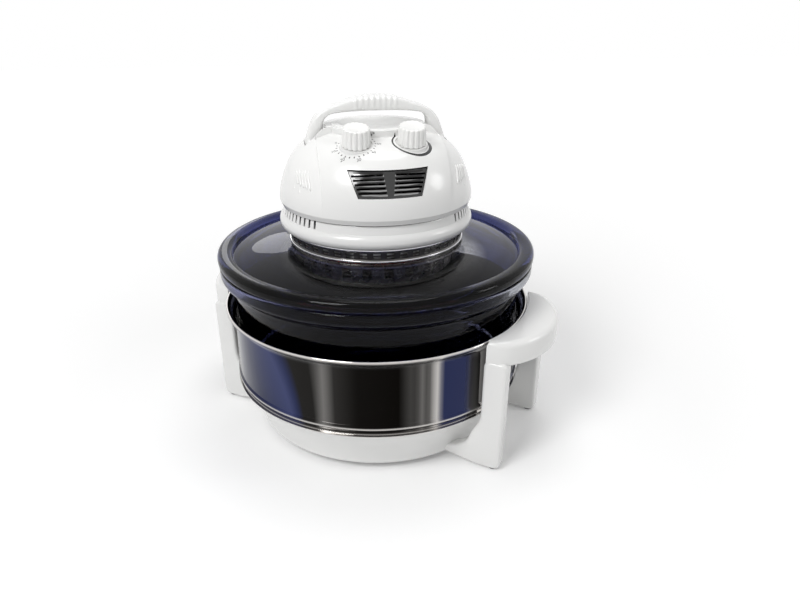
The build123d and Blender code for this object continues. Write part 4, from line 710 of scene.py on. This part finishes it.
def printed_dome(name, rgb, ink):
    """Moulded plastic with the ticks of the timer dial and the growing arc of the temperature dial."""
    finish = moulded(name, rgb)
    prints = []
    for side in (-1, 1):
        away = finish.vector_maths("SUBTRACT", finish.coordinates, DIAL_SEATS[side] * MM)["Vector"]
        across = finish.xyz(away)["X"]
        depth = finish.vector_maths("DOT_PRODUCT", away, DIAL_BACK)["Value"]
        turn = finish.maths("ARCTAN2", across, finish.maths("MULTIPLY", depth, -1.0))
        either_way = finish.maths("ABSOLUTE", turn)
        off_ring = finish.maths("SUBTRACT", finish.hypot(across, depth), PRINT_R)
        off_ring = finish.maths("ABSOLUTE", off_ring)
        if side > 0:
            # Arc that starts thin on the left and ends thick on the right
            width = finish.maths("MULTIPLY_ADD", turn, ARC_GROWTH, ARC_HALF_WIDTH)
            ring = finish.maths("LESS_THAN", off_ring, width)
            span = finish.maths("LESS_THAN", either_way, ARC_SPAN)
        else:
            # A tick every 14 degrees
            step = finish.maths("PINGPONG", finish.maths("ADD", turn, np.pi), TICK_HALF_PITCH)
            ring = finish.maths("LESS_THAN", off_ring, TICK_HALF_LENGTH)
            ring = finish.maths("MULTIPLY", ring, finish.maths("LESS_THAN", step, TICK_HALF_WIDTH))
            span = finish.maths("LESS_THAN", either_way, TICK_SPAN)
        prints.append(finish.maths("MULTIPLY", ring, span))
    return finish.paint(finish.maths("MAXIMUM", *prints), ink).material


def tinted_glass(name, rgb, roughness=0.0):
    """Smoky glass with faint moulding waves that run round the axis.

    It bends and mirrors light less than real glass does, or the white studio would veil its colour.
    """
    finish = Finish(name)
    level = finish.add("ShaderNodeMapping", {"Vector": finish.coordinates})
    level.inputs["Scale"].default_value = (9.0, 9.0, 260.0)
    finish.bump(finish.noise(1.0, 1.0, level.outputs["Vector"]), 0.12, 0.0012)
    finish.set(Base_Color=shade(rgb), Transmission_Weight=1.0, Roughness=roughness)
    return finish.set(IOR=1.2, Specular_IOR_Level=0.015)


def painted_light_streaks(finish, tone, weak):
    """Tone made weaker in fine lines round the axis: painted streaks of light and shade, as light runs along
    thick glass.
    """
    fine = finish.add("ShaderNodeMapping", {"Vector": finish.coordinates})
    fine.inputs["Scale"].default_value = (7.0, 7.0, 420.0)
    lines = finish.noise(1.0, 1.5, fine.outputs["Vector"])
    share = finish.ramp(lines, (0.38, shade((weak,) * 3)), (0.66, shade((1.0,) * 3)))
    lit = finish.add("ShaderNodeMixRGB", {"Color1": tone, "Color2": share}, blend_type="MULTIPLY", Fac=1.0)
    return finish.join("Base Color", lit.outputs["Color"])


def lid_with_painted_surroundings(name, clear, smoke):
    """Lid glass that is clear over the front of the hot side and smoky round it; the dark navy rim is partly
    the glass's own smoke and partly painted reflection of dark blue surroundings.

    It is clear up to 84 mm and smoky from 104 mm off a point 45 mm in front of the axis.
    """
    finish = tinted_glass(name, smoke)
    away = finish.vector_maths("SUBTRACT", finish.coordinates, (0.0, -0.045, 0.0))["Vector"]
    flat = finish.vector_maths("MULTIPLY", away, (5.0, 5.0, 0.0))["Vector"]
    radius = finish.vector_maths("LENGTH", flat)["Value"]
    # Clear middle and dark navy rim: partly the glass's smoke, partly painted reflection
    tone = finish.ramp(radius, (0.42, shade(clear)), (0.52, shade(smoke)))
    return painted_light_streaks(finish, tone, 0.6)


def bowl_with_painted_side_light(name, smoke, pale):
    """Bowl glass that is smoky, with painted light that makes its right side pale, as that side has the light
    behind it.

    It turns pale from 80 mm to 120 mm right of the axis.
    """
    finish = tinted_glass(name, smoke)
    place = finish.maths("MULTIPLY_ADD", finish.xyz()["X"], 3.0, 0.5)
    dim = shade(pale, 0.8)
    # Painted light: smoky on the left, pale on the right
    tone = finish.ramp(place, (0.0, shade(smoke)), (0.74, shade(smoke)), (0.86, shade(pale)), (1.0, dim))
    return painted_light_streaks(finish, tone, 0.35)


def steel_with_painted_reflections(name, reflection_bands, edge, roughness=0.06):
    """Polished steel with painted reflections: the dark, bright and blue upright streaks that such a mirror
    picks up.

    Each band is (azimuth in degrees from the front, colour); the streaks lie in the ring's own Object space,
    and those on its left lean outwards at the bottom.
    """
    finish = Finish(name)
    turn, level = finish.polar()
    left = finish.maths("MULTIPLY_ADD", turn, -18.0, 7.5)
    left.node.use_clamp = True
    lean = finish.maths("MULTIPLY", finish.maths("SUBTRACT", level, 0.095), 0.55)
    turn = finish.maths("ADD", turn, finish.maths("MULTIPLY", left, lean))
    tone = finish.ramp(turn, *[((azimuth + 180) / 360, shade(tint)) for azimuth, tint in reflection_bands])
    finish.join("Base Color", tone)
    # Painted highlight lines: heights in millimetres, with 1 where the lip and the beads catch the light
    lines = ((55, 1), (58, 0), (62, 0), (63.2, 1), (64.6, 0), (136.5, 0), (138.5, 1), (140, 1))
    place = finish.maths("MULTIPLY_ADD", level, 10.0, -0.5)
    stops = [((height - 50) / 100, shade((lit,) * 3)) for height, lit in lines]
    # Painted highlights in the bright tone along the lip and the beads
    finish.paint(finish.ramp(place, *stops), edge)
    finish.join("Roughness", finish.maths("MULTIPLY_ADD", finish.noise(180.0), 0.05, roughness - 0.025))
    return finish.set(Metallic=1.0)


# -------------------------------- pieces


class OVEN_OT_glass(Operator):
    """Bowl and lid: heavy turned glass with rounded rims."""

    bl_idname = "oven.glass"
    bl_label = "Glass bowl and lid"

    def execute(self, context):
        look = context.scene.oven_glass
        for name, profile, body, finish in (
            ("glass_bowl", BOWL_PROFILE, "bowl", bowl_with_painted_side_light("bowl_look", look.bowl_tint, look.bowl_painted_light_side)),
            ("lid_glass", LID_PROFILE, "lid", lid_with_painted_surroundings("lid_look", look.lid_clear, look.lid_smoke_and_painted_navy)),
        ):
            piece = turned(name + "_surface", profile, look.sides, 50.0)
            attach(piece, body)
            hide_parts(name)
            dress(piece, finish.material)
        return {"FINISHED"}


class OVEN_OT_ring(Operator):
    """Extender ring: rolled steel sheet with a flared lip and a double bead."""

    bl_idname = "oven.ring"
    bl_label = "Steel ring"

    def execute(self, context):
        look = context.scene.oven_steel
        sheet = rolled_sheet(RING_LINE, 0.9)
        piece = turned("extender_ring_surface", sheet, context.scene.oven_glass.sides, 60.0)
        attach(piece, "ring")
        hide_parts("extender_ring")
        # Painted reflections: bright, dark and navy tones mixed into bands round the ring
        tones = {"b": look.bright, "d": look.dark, "n": look.navy}
        reflection_bands = [
            (azimuth, mix(tones[first], tones[second], share))
            for azimuth, first, second, share in PAINTED_REFLECTION_BANDS
        ]
        dress(piece, steel_with_painted_reflections("steel_painted_reflections", reflection_bands, look.bright).material)
        return {"FINISHED"}


class OVEN_OT_collar(Operator):
    """Collar under the head: two chromed rings and the dark perforated band."""

    bl_idname = "oven.collar"
    bl_label = "Collar"

    def execute(self, context):
        look = context.scene.oven_steel
        chrome = metal("trim_chrome", look.trim, 0.12).material
        for name, middle, height, width, tall in (
            ("lower_trim_ring", 87.5, 206.52, 5.8, 2.4),
            ("upper_trim_ring", 88.8, 218.32, 7.4, 2.38),
        ):
            angle = np.linspace(0, 2 * np.pi, 32, endpoint=False)
            across, rise = rounded(np.cos(angle), 0.4), rounded(np.sin(angle), 0.4)
            bar = np.column_stack((middle + across * width / 2, height + rise * tall / 2))
            piece = turned(name + "_surface", bar, 192, 60.0)
            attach(piece, "lid")
            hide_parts(name)
            dress(piece, chrome)
        dress("collar_band", metal("band_steel", look.band, 0.35).material)
        return {"FINISHED"}


class OVEN_OT_head(Operator):
    """Head: white lower housing, printed dome with its cheek ribs, crown cap and cord grommet."""

    bl_idname = "oven.head"
    bl_label = "Head"

    def execute(self, context):
        look = context.scene.oven_shell
        shell = moulded("head_plastic", look.white)
        # Painted shade inside the lower housing, behind its vent slots
        dress("lower_housing", painted_shade_inside("housing_plastic_painted_shade", look.white, look.ink))
        dress("crown_cap", shell.material)
        dress("upper_housing", printed_dome("dome_plastic", look.white, look.ink))
        dress("cord_grommet", soft_touch("grommet_rubber", (0.75, 0.75, 0.74)).material)
        for name, side in (("left_cheek_ribs", -1), ("right_cheek_ribs", 1)):
            ribs = rib_surface(name, side)
            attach(ribs, "lid")
            dress(ribs, shell.material)
        return {"FINISHED"}


class OVEN_OT_dial_marks(Operator):
    """Plain numbers round the timer dial, laid on the dome."""

    bl_idname = "oven.dial_marks"
    bl_label = "Dial numbers"

    def execute(self, context):
        look = context.scene.oven_shell
        ink = soft_touch("dial_ink", look.ink, 0.5).material
        for number in range(7):
            turn = np.radians(-126 + 42 * number)
            letters = bpy.data.curves.new("number", "FONT")
            letters.body = str(10 * number)
            letters.size = look.number_height
            letters.align_x = "CENTER"
            letters.align_y = "CENTER"
            letters.resolution_u = 3
            holder = bpy.data.objects.new("number", letters)
            context.scene.collection.objects.link(holder)
            context.view_layer.update()
            flat = bpy.data.meshes.new_from_object(holder.evaluated_get(context.evaluated_depsgraph_get()))
            bpy.data.objects.remove(holder)
            flat.name = f"timer_number_{10 * number}"
            local = np.empty(len(flat.vertices) * 3)
            flat.vertices.foreach_get("co", local)
            local = local.reshape(-1, 3)
            out = np.sin(turn) * DIAL_ACROSS - np.cos(turn) * DIAL_BACK
            middle = DIAL_SEATS[-1] * MM + NUMBER_R * out
            flat_points = middle + local[:, :1] * DIAL_ACROSS + local[:, 1:2] * DIAL_BACK
            placed = dropped(flat_points, -DIAL_AXIS, "upper_housing", 0.00006)
            flat.vertices.foreach_set("co", placed.ravel())
            flat.update()
            piece = bpy.data.objects.new(flat.name, flat)
            context.scene.collection.objects.link(piece)
            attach(piece, "lid")
            dress(piece, ink)
        return {"FINISHED"}


class OVEN_OT_grille(Operator):
    """Dark chrome louvres in the front of the head, with painted highlights along them."""

    bl_idname = "oven.grille"
    bl_label = "Front grille"

    def execute(self, context):
        look = context.scene.oven_shell
        finish = metal("dark_chrome_painted_glints", look.grille, 0.14)
        parts = finish.xyz()
        side, level = finish.maths("ABSOLUTE", parts["X"]), parts["Z"]
        # Painted highlight and shade: each louvre is brightest along its upper lip and dark below it,
        # unevenly as chromed plastic is
        rise = finish.maths("MULTIPLY_ADD", level, LOUVRES_A_METRE, -LOUVRES_BELOW)
        uneven = finish.maths("MULTIPLY", finish.noise(90.0), 0.35)
        phase = finish.maths("FRACT", finish.maths("ADD", rise, uneven))
        louvres = finish.ramp(
            phase,
            (0.0, shade(look.grille, 0.25)),
            (0.35, shade(look.grille, 0.4)),
            (0.55, shade(look.grille, 3.2)),
            (0.75, shade(look.grille, 1.6)),
            (0.9, shade(look.grille, 0.3)),
        )
        # They end at the frame, which leans out to the top, and at the wedge in the middle
        lean = finish.maths("MULTIPLY_ADD", level, 1 / 3, -0.0912)
        outer = finish.maths("LESS_THAN", side, finish.maths("ADD", lean, 0.0265))
        inner = finish.maths("GREATER_THAN", side, finish.maths("MULTIPLY_ADD", level, 0.1375, -0.0345))
        below = finish.maths("LESS_THAN", level, LOUVRE_TOP_Z)
        above = finish.maths("GREATER_THAN", level, LOUVRE_FOOT_Z)
        beside = finish.maths("MULTIPLY", outer, inner)
        within = finish.maths("MULTIPLY", beside, finish.maths("MULTIPLY", below, above))
        tone = finish.add("ShaderNodeMixRGB", {"Fac": within, "Color2": louvres})
        tone.inputs["Color1"].default_value = shade(look.grille, 0.55)
        finish.join("Base Color", tone.outputs["Color"])
        dress("front_grille", finish.material)
        return {"FINISHED"}


class OVEN_OT_dials(Operator):
    """Fluted dials on their tilted spindles."""

    bl_idname = "oven.dials"
    bl_label = "Dials"

    def execute(self, context):
        look = context.scene.oven_shell
        plastic = moulded("dial_plastic", look.knob_white, 0.3).material
        dials = (("timer_knob", -1, "timer_dial"), ("temperature_knob", 1, "temperature_dial"))
        for name, side, body in dials:
            piece = knob_surface(name + "_surface", side, look.flutes)
            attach(piece, body)
            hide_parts(name)
            dress(piece, plastic)
        steel = metal("spindle_steel", (0.55, 0.55, 0.55), 0.3).material
        for name in ("timer_spindle", "thermostat_spindle"):
            dress(name, steel)
        return {"FINISHED"}


class OVEN_OT_handle(Operator):
    """Bail handle with a ribbed grip, its pivots and the cam on them."""

    bl_idname = "oven.handle"
    bl_label = "Bail handle"

    def execute(self, context):
        look = context.scene.oven_shell
        piece = bail_surface("handle_bail_surface")
        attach(piece, "handle")
        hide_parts("handle_bail")
        dress(piece, moulded("handle_plastic", look.white, 0.26).material)
        dress("handle_pivots", metal("pivot_steel", (0.55, 0.55, 0.55), 0.3).material)
        dress("switch_cam", soft_touch("cam_nylon", (0.78, 0.77, 0.70)).material)
        return {"FINISHED"}


class OVEN_OT_stand(Operator):
    """Moulded stand with its feet and bowl pads."""

    bl_idname = "oven.stand"
    bl_label = "Stand"

    def execute(self, context):
        look = context.scene.oven_shell
        piece = stand_surface("base_stand_surface", context.scene.oven_glass.sides)
        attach(piece, "stand")
        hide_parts("base_stand")
        dress(piece, moulded("stand_plastic", look.white, 0.25).material)
        dress("rubber_feet", soft_touch("foot_rubber", (0.05, 0.05, 0.05)).material)
        dress("bowl_pads", soft_touch("pad_silicone", (0.62, 0.62, 0.60)).material)
        return {"FINISHED"}


class OVEN_OT_hot_side(Operator):
    """Shield, guard, lamp and fan under the lid."""

    bl_idname = "oven.hot_side"
    bl_label = "Hot side"

    def execute(self, context):
        sheet = metal("shield_aluminium", (0.70, 0.70, 0.70), 0.3, 0.05).material
        for name in ("heat_shield", "convection_fan", "cooling_fan"):
            dress(name, sheet)
        plated = metal("guard_plating", (0.80, 0.77, 0.73), 0.28).material
        for name in ("heater_guard", "glass_clamp_ring", "lamp_clips", "fan_nut"):
            dress(name, plated)
        dress("neck_gasket", soft_touch("gasket_silicone", (0.35, 0.05, 0.04)).material)
        dress("halogen_lamp", tinted_glass("quartz", (0.93, 0.92, 0.88), 0.1).material)
        dress("lamp_holders", soft_touch("lamp_ceramic", (0.78, 0.76, 0.70), 0.55).material)
        return {"FINISHED"}


class OVEN_OT_works(Operator):
    """Motor, controls and fasteners inside the head."""

    bl_idname = "oven.works"
    bl_label = "Motor and controls"

    def execute(self, context):
        lamination = metal("motor_laminations", (0.16, 0.16, 0.17), 0.5, 0.2).material
        plated = metal("zinc_plating", (0.58, 0.58, 0.55), 0.35).material
        pale = soft_touch("control_plastic", (0.72, 0.70, 0.63)).material
        for name in ("motor_stator", "motor_rotor"):
            dress(name, lamination)
        for name in (
            "motor_shaft", "motor_brackets", "motor_posts", "motor_screws", "housing_screws", "timer_body",
        ):
            dress(name, plated)
        for name in ("thermostat_body", "terminal_block"):
            dress(name, pale)
        dress("motor_coil", soft_touch("coil_tape", (0.40, 0.20, 0.05), 0.5).material)
        dress("safety_switch", soft_touch("switch_case", (0.03, 0.03, 0.03), 0.45).material)
        dress("switch_plunger", soft_touch("switch_button", (0.50, 0.04, 0.03), 0.4).material)
        return {"FINISHED"}


class OVEN_OT_stage(Operator):
    """Pale floor, soft studio light and the camera at the photograph's angle."""

    bl_idname = "oven.stage"
    bl_label = "Stage"

    def execute(self, context):
        look = context.scene.oven_stage
        scene = context.scene
        scene.view_settings.view_transform = "Standard"

        corners = np.array([(-4, -4, -0.0005), (4, -4, -0.0005), (4, 4, -0.0005), (-4, 4, -0.0005)])
        floor = mesh_piece("floor", corners, [[0, 1, 2, 3]])
        finish = Finish("floor_paper")
        finish.set(Base_Color=shade(look.floor), Roughness=0.9)
        rays = finish.add("ShaderNodeLightPath").outputs
        seen = finish.maths("MAXIMUM", rays["Is Camera Ray"], rays["Is Glossy Ray"])
        seen = finish.maths("MAXIMUM", seen, rays["Is Transmission Ray"])
        # Less light of its own where the lamps reach it, so that it is evenly white
        away = finish.vector_maths("LENGTH", finish.coordinates)["Value"]
        share = finish.maths("MULTIPLY", away, 0.25)
        glow = finish.ramp(share, *((place, shade((level,) * 3)) for place, level in FLOOR_GLOW))
        finish.join("Emission Strength", finish.maths("MULTIPLY", seen, glow))
        finish.set(Emission_Color=(1, 1, 1, 1))
        dress(floor, finish.material)

        world = bpy.data.worlds.new("studio")
        world.use_nodes = True
        tree = world.node_tree
        rays = tree.nodes.new("ShaderNodeLightPath").outputs
        seen = rays["Is Camera Ray"]
        for other in ("Is Glossy Ray", "Is Transmission Ray"):
            either = tree.nodes.new("ShaderNodeMath")
            either.operation = "MAXIMUM"
            tree.links.new(seen, either.inputs[0])
            tree.links.new(rays[other], either.inputs[1])
            seen = either.outputs[0]
        level = tree.nodes.new("ShaderNodeMapRange")
        tree.links.new(seen, level.inputs["Value"])
        level.inputs["To Min"].default_value = look.fill
        level.inputs["To Max"].default_value = 1.0
        tree.links.new(level.outputs["Result"], tree.nodes["Background"].inputs["Strength"])
        tree.nodes["Background"].inputs["Color"].default_value = (1, 1, 1, 1)
        scene.world = world

        for name, place, power, size in (
            ("key", (-0.9, -0.9, 1.3), look.key_power, 0.7),
            ("top", (0.1, 0.1, 1.6), look.key_power * 0.5, 0.9),
            ("side", (1.4, -0.5, 0.7), look.key_power * 0.2, 0.5),
            ("back", (-0.26, 1.4, 0.68), look.key_power * 0.03, 0.3),
        ):
            lamp = bpy.data.lights.new(name, "AREA")
            lamp.energy = power
            lamp.shape = "DISK"
            lamp.size = size
            lamp_object = bpy.data.objects.new(name, lamp)
            lamp_object.location = place
            aim = Vector((0, 0, 0.17)) - Vector(place)
            lamp_object.rotation_euler = aim.to_track_quat("-Z", "Y").to_euler()
            scene.collection.objects.link(lamp_object)

        camera = bpy.data.cameras.new("camera")
        camera.lens = look.lens
        camera.sensor_width = 36.0
        camera_object = bpy.data.objects.new("camera", camera)
        camera_object.location = CAMERA_PLACE
        camera_object.rotation_euler = CAMERA_TURN
        scene.collection.objects.link(camera_object)
        scene.camera = camera_object
        return {"FINISHED"}


# -------------------------------- panel and registration

OPERATORS = (
    OVEN_OT_glass,
    OVEN_OT_ring,
    OVEN_OT_collar,
    OVEN_OT_head,
    OVEN_OT_dial_marks,
    OVEN_OT_grille,
    OVEN_OT_dials,
    OVEN_OT_handle,
    OVEN_OT_stand,
    OVEN_OT_hot_side,
    OVEN_OT_works,
    OVEN_OT_stage,
)
SETTINGS = {
    "oven_glass": GlassSettings,
    "oven_steel": SteelSettings,
    "oven_shell": ShellSettings,
    "oven_stage": StageSettings,
}


class OVEN_PT_sidebar(Panel):
    """Pieces of the oven, one button each."""

    bl_idname = "OVEN_PT_sidebar"
    bl_label = "Halogen oven"
    bl_space_type = "VIEW_3D"
    bl_region_type = "UI"
    bl_category = "Oven"

    def draw(self, context):
        for name, group in SETTINGS.items():
            box = self.layout.box()
            for prop in group.__annotations__:
                box.prop(getattr(context.scene, name), prop)
        for operator in OPERATORS:
            self.layout.operator(operator.bl_idname)


def register():
    for cls in (*SETTINGS.values(), *OPERATORS, OVEN_PT_sidebar):
        bpy.utils.register_class(cls)
    for name, group in SETTINGS.items():
        setattr(bpy.types.Scene, name, PointerProperty(type=group))


def unregister():
    for name in SETTINGS:
        delattr(bpy.types.Scene, name)
    for cls in reversed((*SETTINGS.values(), *OPERATORS, OVEN_PT_sidebar)):
        bpy.utils.unregister_class(cls)


def make_oven():
    """Register and run every operator in order."""
    register()
    for operator in OPERATORS:
        group, name = operator.bl_idname.split(".")
        getattr(getattr(bpy.ops, group), name)()


if __name__ == "__main__":
    make_oven()
